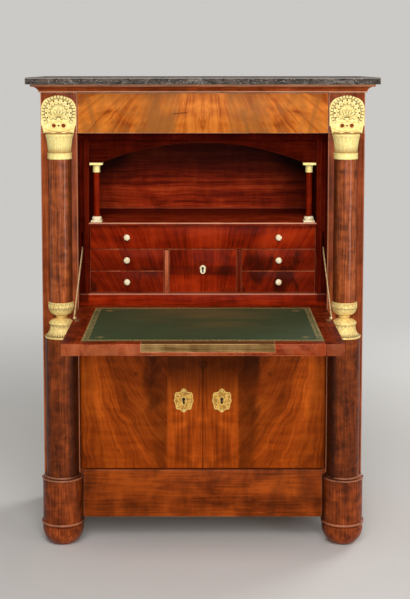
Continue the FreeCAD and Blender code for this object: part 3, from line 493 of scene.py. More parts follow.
    def _flaws(self, x: Wire, z: Wire) -> Wire | None:
        """Marks a veneer: a crack in the frieze, or knots and a worn ring on the doors.

        Args:
            x: the way across.
            z: the way up.

        Returns:
            Where the veneer is marked, or nothing for a sound one.
        """
        if self.figure is Figure.FRIEZE_FAN:
            slope = z - x * 0.083 - FRIEZE_CRACK[1]
            return slope.line(0.0, 0.0021) * (x - FRIEZE_CRACK[0]).line(0.0, 0.021) * 0.6
        if self.figure is Figure.DOOR_FLAME:
            knot = (abs(x) - DOOR_KNOT[0]).distance(z - DOOR_KNOT[1])
            ring = (x - DOOR_RING[0]).distance(z - DOOR_RING[1])
            return ring.line(0.0095, 0.0028) * 0.75 + knot.step(0.008, 0.003) * 0.5
        return None

    @staticmethod
    def _door_flame(z: Wire, spread: Wire, smoke: Wire) -> Wires:
        """The doors' mirrored flame with its dark spine, beside a straight meeting strip that darkens towards
        its top as the fall's painted shadow.

        Args:
            z: the way up.
            spread: the way out from the middle.
            smoke: soft noise.

        Returns:
            The way along the figure, the way across it, and where it darkens.
        """
        height = (z - DOOR_LOW) / DOOR_TALL
        flame = spread.step(*STRIP_EDGE)
        fall = 1.0 - height
        drop = fall * fall
        fan = (spread + drop * 1.075) / (1.0 + drop * 3.0) + (smoke - 0.5) * 0.022
        side = spread * (1.0 - flame) + fan * flame * 1.5
        streak = fan.line(0.319, 0.019)
        outer = (spread - (height * 0.033 + 0.146 + (smoke - 0.5) * 0.05)).step(0.016, -0.012)
        inner = (spread + height * 0.012 - 0.119).step(-0.012, -0.002)
        depth = smoke.step(0.25, 0.75) * 0.42 + height * 0.3 + 0.03
        spine = flame * inner * outer * depth
        # The meeting strips darken towards the top: painted shadow of the fall
        strip = (1.0 - flame) * height.step(0.35, 0.75) * 0.86 + flame * (0.38 - streak * 0.3)
        return z, side, (spine + strip).least(1.0)

    @staticmethod
    def _fall_flame(y: Wire, spread: Wire, smoke: Wire) -> Wires:
        """The outer side of the fall: a mirrored flame that opens towards the top of the shut fall.

        Args:
            y: the way from back to front.
            spread: the way out from the middle.
            smoke: soft noise.

        Returns:
            The way along the figure, the way across it, and where it darkens.
        """
        height = y / -FALL_DEEP
        fan = (spread + height * height * 0.3) / (1.0 + height * 0.6) + (smoke - 0.5) * 0.03
        spine = (spread + (smoke - 0.5) * 0.05).step(0.05, 0.0) * 0.4
        return y, fan, (spine + smoke.step(0.45, 0.75) * 0.35).least(0.8)

    @staticmethod
    def _frieze_fan(z: Wire, spread: Wire, smoke: Wire) -> Wires:
        """The frieze drawer's fan, with two dull patches and two slanting lines.

        Args:
            z: the way up.
            spread: the way out from the middle.
            smoke: soft noise.

        Returns:
            The way along the figure, the way across it, and where it darkens.
        """
        height = (z - FRIEZE_LOW) / FRIEZE_TALL
        fan = spread / (1.25 - height * 0.4) + (smoke - 0.5) * 0.02
        edge = 0.080 - height * 0.014 + (smoke - 0.5) * 0.012
        patch = (spread - edge).step(-0.008, 0.012) * (spread + (smoke - 0.5) * 0.06).step(0.196, 0.160)
        patch = patch * (smoke.step(0.3, 0.65) * 0.5 + 0.35)
        foot = (spread + (smoke - 0.5) * 0.04).line(0.176, 0.022) * height.step(0.4, 0.0) * 0.8
        slant = abs(spread - height * 0.029 - 0.3125).step(0.013, 0.002) * 0.6
        outer = spread.step(0.11, 0.17) * smoke.step(0.38, 0.7) * 0.55
        return z, fan, patch.most(foot).most(slant).most(outer)

    @staticmethod
    def _drawer_fan(x: Wire, z: Wire, smoke: Wire) -> Wires:
        """The inner drawers' fan, dark low down at the sides and in a belt across the middle.

        Args:
            x: the way across.
            z: the way up.
            smoke: soft noise.

        Returns:
            The way along the figure, the way across it, and where it darkens.
        """
        fan = x / (1.0 + (z - 0.70) * 2.4)
        outer = abs(x).step(*NICHE_SIDE)
        low = z.step(0.90, 0.84) * outer * 0.62
        belt = z.line(0.818, 0.014) * (1.0 - outer) * 0.5
        wide = z.step(0.885, 0.895) * 0.3
        return z, fan, (smoke.step(0.45, 0.7) * (low + 0.5 - wide) + low * 0.6 + belt).least(0.9)


@dataclass(frozen=True)
class Marble(Finish):
    """A dark grey fossil marble, with a painted highlight along its top arris."""

    name: str = "charcoal_marble"
    ground: Colour = tint(93, 82, 74)
    dark: Colour = tint(38, 34, 31)
    speck: Colour = tint(172, 162, 152)
    arris: float = 1.395

    def _make(self) -> bpy.types.Material:
        """Builds the material.

        Returns:
            The finished material.
        """
        recipe = Recipe(self.name)
        x, y, z = recipe.place()
        cloud = recipe.noise((x * 38.0, y * 38.0, z * 60.0), 5.0, 0.7)
        vein = abs(recipe.noise((x * 3.2, y * 3.2, z * 5.0), 6.0, 1.4) - 0.5)
        fossil = recipe.cells((x * 120.0, y * 160.0, z * 160.0))
        scratch = recipe.noise((x * 60.0, y * 60.0, z * 700.0), 2.0)
        colour = recipe.mix(cloud.step(0.3, 0.7), self.dark, self.ground)
        marks = (
            vein.step(0.010, 0.002) * 0.25,
            fossil.step(0.26, 0.08) * 0.95,
            scratch.step(0.60, 0.72) * 0.7,
            # a pale line along the top arris: painted highlight
            z.line(self.arris, 0.0013) * 0.6,
        )
        for mark in marks:
            colour = recipe.mix(mark, colour, self.speck)
        rough = 0.46 + cloud * 0.14
        normal = recipe.bump(fossil.step(0.02, 0.25), 0.0002)
        return recipe.surface(Base_Color=colour, Roughness=rough, Normal=normal, Specular_IOR_Level=0.06)


@dataclass(frozen=True)
class Metal(Finish):
    """Gilt bronze or brass, browned in its hollows, with painted shade lines at the levels in painted_shade_at.
    """

    name: str
    bright: Colour
    worn: Colour
    hollow: Colour
    rough: float
    metallic: float
    painted_shade_at: tuple[Spot, ...] = ()

    def _make(self) -> bpy.types.Material:
        """Builds the material.

        Returns:
            The finished material.
        """
        recipe = Recipe(self.name)
        place = recipe.place()
        rub = recipe.noise([way * 120.0 for way in place], 4.0)
        grain = recipe.noise([way * 900.0 for way in place], 2.0)
        tarnish = recipe.attribute("tarnish")
        colour = recipe.mix(rub.step(0.35, 0.68), self.worn, self.bright)
        colour = recipe.mix((tarnish + (grain - 0.5) * 0.3).step(0.12, 0.72), colour, self.hollow)
        # Painted shade lines, such as the shadow under the medallions
        for level, half in self.painted_shade_at:
            colour = recipe.mix(place[2].line(level, half) * 0.8, colour, self.hollow)
        rough = self.rough + rub * 0.12 + tarnish * 0.2
        normal = recipe.bump(grain, 0.0001)
        return recipe.surface(Base_Color=colour, Metallic=self.metallic, Roughness=rough, Normal=normal)


@dataclass(frozen=True)
class Bone(Finish):
    """Yellowed bone with fine dark pores."""

    name: str = "yellowed_bone"
    pale: Colour = tint(250, 238, 204)
    aged: Colour = tint(224, 198, 146)
    pore: Colour = tint(96, 68, 36)

    def _make(self) -> bpy.types.Material:
        """Builds the material.

        Returns:
            The finished material.
        """
        recipe = Recipe(self.name)
        x, y, z = recipe.place()
        age = recipe.noise((x * 90.0, y * 90.0, z * 90.0), 3.0)
        streak = recipe.noise((x * 900.0, y * 120.0, z * 900.0), 2.0)
        colour = recipe.mix(age.step(0.35, 0.7), self.pale, self.aged)
        colour = recipe.mix(streak.step(0.62, 0.76) * 0.6, colour, self.pore)
        normal = recipe.bump(streak, 0.0001)
        return recipe.surface(Base_Color=colour, Roughness=0.28 + age * 0.2, Normal=normal)


@dataclass(frozen=True)
class TooledLeather(Finish):
    """The fall's green writing leather with its gold-tooled border."""

    name: str = "green_tooled_leather"
    green: Colour = tint(44, 70, 36)
    dark: Colour = tint(34, 52, 25)
    rubbed: Colour = tint(84, 76, 40)
    gold: Colour = tint(218, 192, 122)
    half_width: float = 0.317
    half_depth: float = 0.22925
    centre: float = -0.207
    border: float = 0.008
    stamp: float = 0.014
    sprig: float = 0.046

    def _make(self) -> bpy.types.Material:
        """Builds the material.

        Returns:
            The finished material.
        """
        recipe = Recipe(self.name)
        x, y, _ = recipe.place()
        wear = recipe.noise((x * 4.0, y * 9.0, 0.0), 5.0, 0.5)
        brush = recipe.noise((x * 14.0, y * 90.0, 0.0), 3.0)
        fleck = recipe.noise((x * 150.0, y * 95.0, 0.0), 2.0)
        pebble = recipe.cells((x * 700.0, y * 700.0, 0.0))
        middle = abs(x).step(self.half_width, 0.06) * (y - self.centre).step(-0.2, 0.1)
        colour = recipe.mix(brush.step(0.25, 0.75), self.dark, self.green)
        colour = recipe.mix((wear.step(0.35, 0.62) * 0.95 + 0.05) * middle, colour, self.rubbed)
        kept = (wear.step(0.3, 0.55) * 0.4 + 0.3) * (fleck.step(0.38, 0.6) * 1.1 + 0.3)
        stamped = self._tooling(x, y) * kept
        colour = recipe.mix(stamped, colour, self.gold)
        rough = 0.50 + pebble * 0.12 - stamped * 0.15
        normal = recipe.bump(pebble * 0.5 - stamped, 0.0003)
        return recipe.surface(Base_Color=colour, Roughness=rough, Metallic=stamped * 0.6, Normal=normal)

    def _tooling(self, x: Wire, y: Wire) -> Wire:
        """Draws the border: three fillets, a run of leaf stamps between them, and corner sprigs.

        Args:
            x: the way across the fall.
            y: the way from back to front.

        Returns:
            1 where gold was stamped.
        """
        from_side = self.half_width - abs(x)
        from_end = self.half_depth - abs(y - self.centre)
        inset = from_side.least(from_end)
        on_end = (from_side - from_end).step(-0.0005, 0.0005)
        along = x * on_end + y * (1.0 - on_end)
        outer, inner, fine = inset.line(0.0020, 0.0022), inset.line(0.0145, 0.0010), inset.line(0.0170, 0.0005)
        leaf = (along * (2 * math.pi / self.stamp)).wave()
        stem = abs(inset - self.border - leaf * 0.0030).step(0.0022, 0.0012)
        berries = (leaf * -0.0040 + self.border - inset).line(0.0, 0.0014) * abs(leaf).step(0.75, 0.95)
        corner = (abs(from_side - self.sprig) + abs(from_end - self.sprig)).step(0.016, 0.011) * 1.5
        rays = ((from_side - from_end) * 900.0).wave().step(-0.2, 0.4)
        return outer.most(inner).most(fine).most(stem).most(berries).most(corner * rays)


MAHOGANY = Timber("case_mahogany", tint(170, 86, 42), tint(134, 60, 27), tint(90, 37, 14), tint(70, 30, 12))
# Stiles, with pale uprights at their outer and inner edges: partly wear, partly painted highlight
STILE_WOOD = MAHOGANY.like(
    "stile_mahogany", rubbed=tint(184, 122, 90),
    rubbed_sides=((0.4746, 0.0010, 0.0), (0.3702, 0.0010, 0.215)),
)
# Cornice, written brighter than the case as painted light for its shaded cove, with pale fillet lines of wear
# and painted highlight
CORNICE_WOOD = MAHOGANY.like(
    "cornice_mahogany", (206, 108, 54), (162, 74, 31), (112, 45, 16),
    rubbed=tint(236, 190, 154), rubbed_at=((1.3548, 0.0014), (1.3752, 0.0016)),
)
# Column shafts, with painted shade on the inner flank
SHAFT_MAHOGANY = MAHOGANY.like(
    "shaft_mahogany", (204, 110, 56), (154, 74, 32), (86, 35, 12),
    figure=Figure.TURNED, bands=26.0, stripe=0.6, mottle=0.7, gloss=0.26, coat=0.34, shine=0.06, blotch=3.0,
    flank=(0.404, 0.388),
)
# Lower columns: pale ring lines of painted highlight and some wear, and painted shade on the inner flank
TURNED_MAHOGANY = MAHOGANY.like(
    "turned_mahogany", (162, 77, 28), (118, 51, 15), (70, 27, 7), (40, 15, 5),
    figure=Figure.TURNED, bands=26.0, stripe=0.55, mottle=0.75, gloss=0.24, coat=0.18, shine=0.06, blotch=3.4,
    rubbed=tint(172, 118, 90), rubbed_at=((0.0685, 0.0025), (0.2030, 0.0019), (0.2100, 0.0019)),
)
# Drums, written lighter than the lower columns as painted light bounced from the floor, with painted shade on
# the inner flank
DRUM_MAHOGANY = TURNED_MAHOGANY.like(
    "drum_mahogany", (184, 89, 34), (136, 59, 19), (82, 32, 9),
    flank=(0.382, 0.356),
)
# Feet, written lighter still as painted light bounced from the floor, with painted shade on the inner flank
FOOT_MAHOGANY = TURNED_MAHOGANY.like(
    "foot_mahogany", (188, 93, 38), (144, 63, 22), (88, 34, 11),
    flank=(0.382, 0.350),
)
DOOR_VENEER = Timber(
    "door_veneer", tint(218, 104, 27), tint(178, 76, 16), tint(128, 50, 9), tint(66, 25, 3),
    figure=Figure.DOOR_FLAME, bands=40.0, stripe=0.8, mottle=0.9, ripple=0.4, coat=0.02, shine=0.03,
)
# Dark tone of the doors' rounded edges: painted shade in the gaps between and round the doors
DOOR_EDGE = DOOR_VENEER.like("door_edge", (54, 18, 5), (40, 12, 3), (28, 8, 3), figure=Figure.STRAIGHT)
FRIEZE_VENEER = Timber(
    "frieze_veneer", tint(220, 128, 46), tint(193, 102, 30), tint(146, 63, 14), tint(150, 92, 41),
    figure=Figure.FRIEZE_FAN, bands=64.0, stripe=0.8, mottle=1.4, blotch=1.6,
)
PLINTH_VENEER = Timber(
    "plinth_veneer", tint(174, 78, 20), tint(134, 56, 12), tint(92, 35, 7), tint(72, 32, 9),
    grain=Axis.ACROSS, figure=Figure.CLOUD, bands=20.0, mottle=1.2,
)
RED_MAHOGANY = Timber(
    "interior_mahogany", tint(162, 46, 12), tint(128, 28, 5), tint(84, 16, 3), tint(54, 13, 4),
    shine=0.01, coat=0.02,
)
DRAWER_VENEER = RED_MAHOGANY.like(
    "drawer_veneer", figure=Figure.DRAWER_FAN, bands=30.0, stripe=0.6, mottle=1.1
)
SHADED_RED = RED_MAHOGANY.like("shaded_red", (98, 23, 7), (74, 13, 4), (52, 8, 3), shine=0.0, coat=0.0)
SHADED_EDGE = SHADED_RED.like("shaded_edge", (134, 50, 24), (106, 33, 14))
ARCH_WOOD = SHADED_RED.like("arch_mahogany", (84, 19, 6), (61, 11, 3), (42, 7, 3))
# Niche back, written bright as painted light for its shaded recess, with painted shade under the arch and
# towards the sides, and a pale foot line of wear and painted highlight
NICHE_WOOD = Timber(
    "niche_mahogany", tint(226, 86, 36), tint(182, 53, 18), tint(118, 28, 8), tint(44, 11, 5),
    grain=Axis.ACROSS, figure=Figure.NICHE_WAVES, bands=46.0, stripe=1.1, mottle=0.7, shine=0.02, coat=0.0,
    rubbed=tint(150, 82, 60), rubbed_at=((0.9667, 0.0013),),
)
DIVIDER_WOOD = RED_MAHOGANY.like(
    "divider_mahogany", (190, 104, 68), (164, 78, 46), shadow=tint(92, 22, 6), figure=Figure.DIVIDERS
)
FALL_WOOD = Timber(
    "fall_mahogany", tint(144, 53, 18), tint(111, 36, 10), tint(74, 20, 5), tint(172, 94, 55),
    figure=Figure.FALL_EDGE, mottle=1.2, blotch=2.0,
)
FALL_VENEER = Timber(
    "fall_veneer", tint(206, 104, 32), tint(170, 76, 20), tint(122, 49, 11), tint(80, 35, 8),
    figure=Figure.FALL_FLAME, bands=44.0, stripe=0.8, mottle=0.9, ripple=0.35,
)
# Pale tones of the rounded board edges, case and interior: partly wear, partly painted highlight along the
# arrises
WORN_HIGHLIGHT_EDGE = MAHOGANY.like("worn_highlight_edge", (234, 182, 148), (210, 146, 110), (160, 94, 58))
RED_EDGE = RED_MAHOGANY.like("red_worn_highlight_edge", (206, 118, 80), (168, 78, 46), (112, 36, 17))
# Niche floor, greyer brown than the interior mahogany as a painted sheen, with a pale front line of wear and
# painted highlight
SHELF_WOOD = RED_MAHOGANY.like(
    "shelf_mahogany", (158, 52, 20), (126, 34, 12),
    rubbed=tint(232, 164, 130), rubbed_at=((0.9620, 0.0018),),
)
# Bottom rail, with painted shade at its ends and a pale top line of wear and painted highlight
RAIL_WOOD = RED_MAHOGANY.like(
    "rail_mahogany", figure=Figure.RAIL,
    rubbed=tint(206, 140, 112), rubbed_at=((0.7480, 0.0016),),
)
# Pale tone of the plinth's rounded edges: partly wear, partly painted highlight
PLINTH_EDGE = PLINTH_VENEER.like("plinth_edge", (176, 112, 78), (140, 80, 48), (92, 44, 20))
OAK = Timber(
    "aged_oak", tint(182, 142, 94), tint(154, 114, 70), tint(120, 84, 48), tint(100, 68, 38),
    bands=40.0, gloss=0.52, coat=0.0,
)
OLIVE_STRIP = Timber(
    "olive_strip", tint(146, 115, 70), tint(112, 82, 44), tint(84, 57, 28), tint(94, 56, 23),
    grain=Axis.ACROSS, figure=Figure.STRIP_TOP, bands=60.0, mottle=1.5, gloss=0.45, coat=0.0,
)
# Pale tone of the olive strip's rounded edges: partly wear, partly painted highlight
STRIP_LINE = OLIVE_STRIP.like("strip_line", (206, 168, 116), (178, 134, 84), figure=Figure.STRAIGHT)
MARBLE = Marble()
GILT = Metal(
    "medallion_gilt", tint(254, 238, 162), tint(244, 218, 136), tint(104, 72, 28), rough=0.5, metallic=0.12
)
# The capitals' gilt, written brighter as painted light for their downward-facing bells, with painted shade
# lines under the medallions
CAPITAL_GILT = Metal(
    "capital_gilt", tint(255, 243, 168), tint(253, 228, 138), tint(172, 122, 52), rough=0.55, metallic=0.1,
    painted_shade_at=((1.2335, 0.0022), (1.1773, 0.0010)),
)
WORN_GILT = Metal(
    "worn_gilt", tint(246, 198, 92), tint(184, 126, 42), tint(84, 50, 16), rough=0.45, metallic=0.2
)
BRIGHT_GILT = Metal(
    "bright_gilt", tint(255, 230, 134), tint(255, 212, 108), tint(150, 100, 36), rough=0.45, metallic=0.15
)
BASE_GILT = Metal(
    "base_gilt", tint(255, 232, 152), tint(238, 202, 120), tint(80, 48, 16), rough=0.45, metallic=0.22
)
BRASS = Metal(
    "stay_brass", tint(240, 214, 160), tint(214, 178, 122), tint(110, 76, 36), rough=0.34, metallic=0.4
)
DULL_BRASS = Metal(
    "dull_brass", tint(148, 104, 58), tint(112, 74, 38), tint(66, 40, 18), rough=0.45, metallic=0.3
)
# Near-black plate behind the keyholes: painted shade for the dark inside
KEYHOLE_SHADE = Metal(
    "keyhole_shade", tint(22, 17, 14), tint(12, 9, 8), tint(6, 5, 4), rough=0.6, metallic=0.2
)
BONE = Bone()
LEATHER = TooledLeather()

Triangle = tuple[tuple[int, int, int], ...]

# The grid that loose triangles meet on, in steps to a metre, and the angle of a sharp edge
GRID = 2.0e5
SHARP = math.radians(35)

# How a board's flat faces, its veneered front and its underside are told, and how far its edges are rounded
FLAT, FACE_DEPTH, DOWNWARD, ROUNDED_SHARE = 0.01, 0.001, -0.9, 0.3

# How the grain's number steps from one board to the next
BOARD_STEP = 0.618

# The places of a board's veneer, edge and underside among its finishes, after one for each way of the grain
FACE_SLOT, EDGE_SLOT, UNDER_SLOT = 3, 4, 5


def solids_of(node: str) -> list[list[Triangle]]:
    """Splits a node's loose triangles into its closed solids.

    Args:
        node: the CAD node.

    Returns:
        For each solid, its triangles on a grid of 5 micrometres.
    """
    mesh = frame["nodes"][node].data
    unpaired: set[tuple] = set()
    current: list[Triangle] = []
    found: list[list[Triangle]] = []
    for polygon in mesh.polygons:
        spots = [mesh.vertices[i].co for i in polygon.vertices]
        keys = tuple(tuple(round(value * GRID) for value in spot) for spot in spots)
        for first, second in zip(keys, keys[1:] + keys[:1]):
            if (second, first) in unpaired:
                unpaired.remove((second, first))
            else:
                unpaired.add((first, second))
        current.append(keys)
        if not unpaired:
            found.append(current)
            current = []
    return found


def mesh_of(shape: bmesh.types.BMesh, name: str) -> bpy.types.Mesh:
    """Turns a shape into a mesh.

    Args:
        shape: the shape, used up by the call.
        name: the mesh's name.

    Returns:
        The mesh.
    """
    mesh = bpy.data.meshes.new(name)
    shape.to_mesh(mesh)
    shape.free()
    return mesh


def skin(shape: bmesh.types.BMesh, rings: list[list[bmesh.types.BMVert]], closed: bool = False) -> None:
    """Joins rings of points by faces.

    Args:
        shape: the shape that holds the points.
        rings: the points of each ring.
        closed: whether the last ring joins the first.
    """
    for first, second in zip(rings, rings[1:] + (rings[:1] if closed else [])):
        for side in range(len(first)):
            shape.faces.new((first[side - 1], first[side], second[side], second[side - 1]))


class Casting:
    """Closed shapes gathered into one piece."""

    def __init__(self, name: str) -> None:
        """Starts an empty piece."""
        self.name = name
        self.shape = bmesh.new()
        self.shape.verts.layers.float.new("tarnish")
        self.shape.faces.layers.float.new("board")

    def add(self, place: Matrix, *meshes: bpy.types.Mesh) -> None:
        """Takes in meshes and drops them.

        Args:
            place: where they go.
            meshes: closed meshes, used up by the call.
        """
        for mesh in meshes:
            mesh.transform(place)
            self.shape.from_mesh(mesh)
            bpy.data.meshes.remove(mesh)

    def piece(self, *finishes: Finish) -> bpy.types.Object:
        """Makes the piece.

        Args:
            finishes: its finishes, by index.

        Returns:
            The new object, linked to the scene.
        """
        mesh = mesh_of(self.shape, self.name)
        for finish in finishes:
            mesh.materials.append(finish.material())
        mesh.shade_smooth()
        mesh.set_sharp_from_angle(angle=SHARP)
        made = bpy.data.objects.new(self.name, mesh)
        bpy.context.scene.collection.objects.link(made)
        return made


def settle(piece: bpy.types.Object, body: str, slot: str, *nodes: str) -> None:
    """Rides a piece on its body, hides the nodes that it replaces and logs it.

    Args:
        piece: the finished piece.
        body: the CAD body that carries it.
        slot: the record's material slot; not used.
        nodes: the CAD nodes that it replaces.
    """
    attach(piece, body)
    if nodes:
        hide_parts(*nodes)
    LOG.info("%s on %s: %d faces", piece.name, body, len(piece.data.polygons))


def coat(finish: Finish, *nodes: str) -> None:
    """Gives CAD nodes that stay in view their finish.

    Args:
        finish: the finish.
        nodes: the nodes.
    """
    for node in nodes:
        slots = frame["nodes"][node].data.materials
        slots.clear()
        slots.append(finish.material())
        LOG.info("%s: %s", node, finish.name)


class Rounding(Enum):
    """How far the edges of boards are rounded, in metres."""

    CRISP = 0.0006
    KEEN = 0.0009
    PLAIN = 0.0011
    FINE = 0.0012
    EASED = 0.0014
    SOFT = 0.0018


@dataclass(frozen=True)
class Boards:
    """A node's boards with softened edges, and grain along each board.

    Attributes:
        node: the CAD node.
        wood: the wood of the boards.
        edge: the wood of the softened edges.
        rounding: how far the edges are rounded.
        face: the veneer of the foremost board, where it has one.
        under: the veneer of the faces that look down, where they have one.
    """

    node: str
    wood: Timber
    edge: Timber = WORN_HIGHLIGHT_EDGE
    rounding: Rounding = Rounding.PLAIN
    face: Timber | None = None
    under: Timber | None = None

    def build(self) -> None:
        """Builds the boards and settles them in place of the node."""
        casting = Casting(self.node + "_boards")
        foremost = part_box(self.node)[0].y
        for index, solid in enumerate(solids_of(self.node)):
            casting.add(Matrix.Identity(4), self._board(solid, index, foremost))
        woods = [*(self.wood.along(axis) for axis in Axis), self.face or self.wood, self.edge]
        if self.under is not None:
            woods.append(self.under)
        settle(casting.piece(*woods), frame["nodes"][self.node]["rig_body"], SLOTS[self.node], self.node)

    def _board(self, solid: list[Triangle], index: int, foremost: float) -> bpy.types.Mesh:
        """Rounds one board's edges.

        Args:
            solid: its triangles.
            index: its number within the node.
            foremost: the node's foremost place, where a faced board starts.

        Returns:
            The board's mesh.
        """
        shape = bmesh.new()
        mark = shape.faces.layers.float.new("board")
        corners: dict[tuple, bmesh.types.BMVert] = {}
        for triangle in solid:
            for key in triangle:
                if key not in corners:
                    corners[key] = shape.verts.new(Vector(key) / GRID)
            shape.faces.new([corners[key] for key in triangle])
        low = Vector([min(key[i] for key in corners) for i in range(3)]) / GRID
        high = Vector([max(key[i] for key in corners) for i in range(3)]) / GRID
        spans = list(high - low)
        faced = self.face is not None and low.y < foremost + FACE_DEPTH
        bmesh.ops.dissolve_limit(shape, angle_limit=FLAT, verts=shape.verts, edges=shape.edges)
        for face in shape.faces:
            face.normal_update()
            face.material_index = FACE_SLOT if faced else spans.index(max(spans))
            if self.under is not None and face.normal.z < DOWNWARD:
                face.material_index = UNDER_SLOT
        keen = [edge for edge in shape.edges if edge.is_manifold and edge.calc_face_angle() > SHARP]
        bmesh.ops.bevel(
            shape, geom=keen, offset=min(self.rounding.value, min(spans) * ROUNDED_SHARE), segments=2,
            profile=0.5, affect="EDGES", clamp_overlap=True, material=EDGE_SLOT,
        )
        for face in shape.faces:
            face[mark] = (index + 1) * BOARD_STEP % 1
        return mesh_of(shape, self.node)


class RingRow:
    """A Geometry Nodes tree that sets copies of a shape round the upright axis."""

    def __init__(self) -> None:
        """Builds the tree once."""
        self.tree = bpy.data.node_groups.new("ring_row", "GeometryNodeTree")
        self.inputs: dict[str, str] = {}
        kinds = {
            "Shape": "NodeSocketGeometry",
            "Count": "NodeSocketInt",
            "First angle": "NodeSocketFloat",
            "Angle step": "NodeSocketFloat",
            "Finish": "NodeSocketMaterial",
        }
        for name, kind in kinds.items():
            socket = self.tree.interface.new_socket(name=name, in_out="INPUT", socket_type=kind)
            self.inputs[name] = socket.identifier
        self.tree.interface.new_socket(name="Row", in_out="OUTPUT", socket_type="NodeSocketGeometry")
        self._wire()

    def _wire(self) -> None:
        """Joins the nodes: points, turned copies, real geometry, finish."""
        given = self.tree.nodes.new("NodeGroupInput").outputs
        index = self.tree.nodes.new("GeometryNodeInputIndex").outputs[0]
        steps = {0: index, 1: given["Angle step"], 2: given["First angle"]}
        turn = self._add("ShaderNodeMath", steps, operation="MULTIPLY_ADD")
        angles = self._add("ShaderNodeCombineXYZ", {2: turn})
        facing = self._add("FunctionNodeEulerToRotation", {0: angles})
        points = self._add("GeometryNodePoints", {"Count": given["Count"]})
        placed = self._add(
            "GeometryNodeInstanceOnPoints", {"Points": points, "Instance": given["Shape"], "Rotation": facing}
        )
        real = self._add("GeometryNodeRealizeInstances", {0: placed})
        dressed = self._add("GeometryNodeSetMaterial", {"Geometry": real, "Material": given["Finish"]})
        self.tree.links.new(dressed, self.tree.nodes.new("NodeGroupOutput").inputs[0])

    def _add(
        self, kind: str, links: Mapping[int | str, bpy.types.NodeSocket], **settings: str
    ) -> bpy.types.NodeSocket:
        """Adds one node.

        Args:
            kind: the node's type.
            links: the socket that feeds each input.
            settings: its settings.

        Returns:
            Its first output.
        """
        made = self.tree.nodes.new(kind)
        for key, value in settings.items():
            setattr(made, key, value)
        for key, socket in links.items():
            self.tree.links.new(socket, made.inputs[key])
        return made.outputs[0]

    def copies(
        self, shape: bmesh.types.BMesh, count: int, step: float, first: float | None = None
    ) -> bpy.types.Mesh:
        """Sets copies of a shape round the axis.

        Args:
            shape: the shape at angle 0, used up by the call.
            count: how many copies.
            step: the angle from one to the next in degrees.
            first: the first one's angle in degrees, for a row that isn't centred on angle 0.

        Returns:
            One plain mesh of all the copies.
        """
        mesh = mesh_of(shape, "ring_shape")
        holder = bpy.data.objects.new("ring_shape", mesh)
        bpy.context.scene.collection.objects.link(holder)
        modifier = holder.modifiers.new("row", "NODES")
        modifier.node_group = self.tree
        modifier[self.inputs["Count"]] = count
        modifier[self.inputs["First angle"]] = math.radians(step * (1 - count) / 2 if first is None else first)
        modifier[self.inputs["Angle step"]] = math.radians(step)
        modifier[self.inputs["Finish"]] = GILT.material()
        graph = bpy.context.evaluated_depsgraph_get()
        row = bpy.data.meshes.new_from_object(holder.evaluated_get(graph))
        bpy.data.objects.remove(holder)
        bpy.data.meshes.remove(mesh)
        return row


def relief(
    place: Callable[[float, float, float], Vector],
    height: Callable[[float, float], float],
    columns: int,
    rows: int,
    sunk: float = 0.0012,
) -> bmesh.types.BMesh:
    """A closed leaf in relief over a surface.

    Args:
        place: gives a point for a share across (-1 to 1), a share along (0 to 1) and a height.
        height: gives the relief's height for the two shares.
        columns: facets across.
        rows: facets along.
        sunk: how far the back lies under the surface.

    Returns:
        The leaf, darkest where it is lowest.
    """
    shape = bmesh.new()
    tarnish = shape.verts.layers.float.new("tarnish")
    tallest = max(height(0.35, share / 8) for share in range(9)) or 1.0
    fronts: list[list[bmesh.types.BMVert]] = []
    backs: list[list[bmesh.types.BMVert]] = []
    shares = [column / columns * 2 - 1 for column in range(columns + 1)]
    for row in range(rows + 1):
        along = row / rows
        fronts.append([shape.verts.new(place(across, along, height(across, along))) for across in shares])
        backs.append([shape.verts.new(place(across, along, -sunk)) for across in shares])
        for across, front, back in zip(shares, fronts[-1], backs[-1]):
            front[tarnish] = max(0.0, 1.0 - height(across, along) / tallest)
            back[tarnish] = 1.0
    skin(shape, [front + back[::-1] for front, back in zip(fronts, backs)])
    for front, back in ((fronts[0], backs[0]), (fronts[-1], backs[-1])):
        for column in range(columns):
            shape.faces.new((front[column], front[column + 1], back[column + 1], back[column]))
    bmesh.ops.recalc_face_normals(shape, faces=shape.faces)
    return shape


def leaf_height(rise: float, rib: float = 0.5) -> Callable[[float, float], float]:
    """Gives a leaf's relief: crowned across, fuller towards its tip, with a sunk midrib.

    Args:
        rise: the height of the crown.
        rib: how far the midrib is sunk, as a share.

    Returns:
        The height for a share across and a share along.
    """

    def height(across: float, along: float) -> float:
        """Returns the height at two shares."""
        crown = math.sqrt(max(0.0, 1.0 - across * across)) * (0.55 + 0.45 * math.sin(along * 2.6))
        return rise * (crown - rib * math.exp(-((across / 0.2) ** 2)) * (1.0 - along * 0.6))

    return height


def tongue(along: float) -> float:
    """Returns a tongue leaf's width: nearly even, round at the tip."""
    return max(0.04, (0.82 + 0.18 * along) * math.sqrt(max(0.0, 1.0 - max(0.0, (along - 0.72) / 0.28) ** 2)))


def spear(along: float) -> float:
    """Returns a spear leaf's width: full in the middle, pointed at both ends."""
    return max(0.04, math.sin(math.pi * (0.12 + 0.88 * along)) ** 0.8)


def turned_leaf(
    path: Callable[[float], Spot], half_turn: float, rise: float, width: Curve, lean: float = 0.0
) -> bmesh.types.BMesh:
    """A leaf on a turned surface, facing the front.

    Args:
        path: gives the surface's radius and height for a share along the leaf.
        half_turn: half the leaf's width, in degrees round the axis.
        rise: its relief.
        width: its width along its length, as a share.
        lean: how far the tip stands off.

    Returns:
        The leaf.
    """

    def place(across: float, along: float, height: float) -> Vector:
        """Returns a point of the leaf."""
        radius, level = path(along)
        angle = math.radians(half_turn) * width(along) * across
        reach = radius + height + lean * along ** 3 * (height > 0)
        return Vector((reach * math.sin(angle), -reach * math.cos(angle), level))

    return relief(place, leaf_height(rise), columns=8, rows=12)


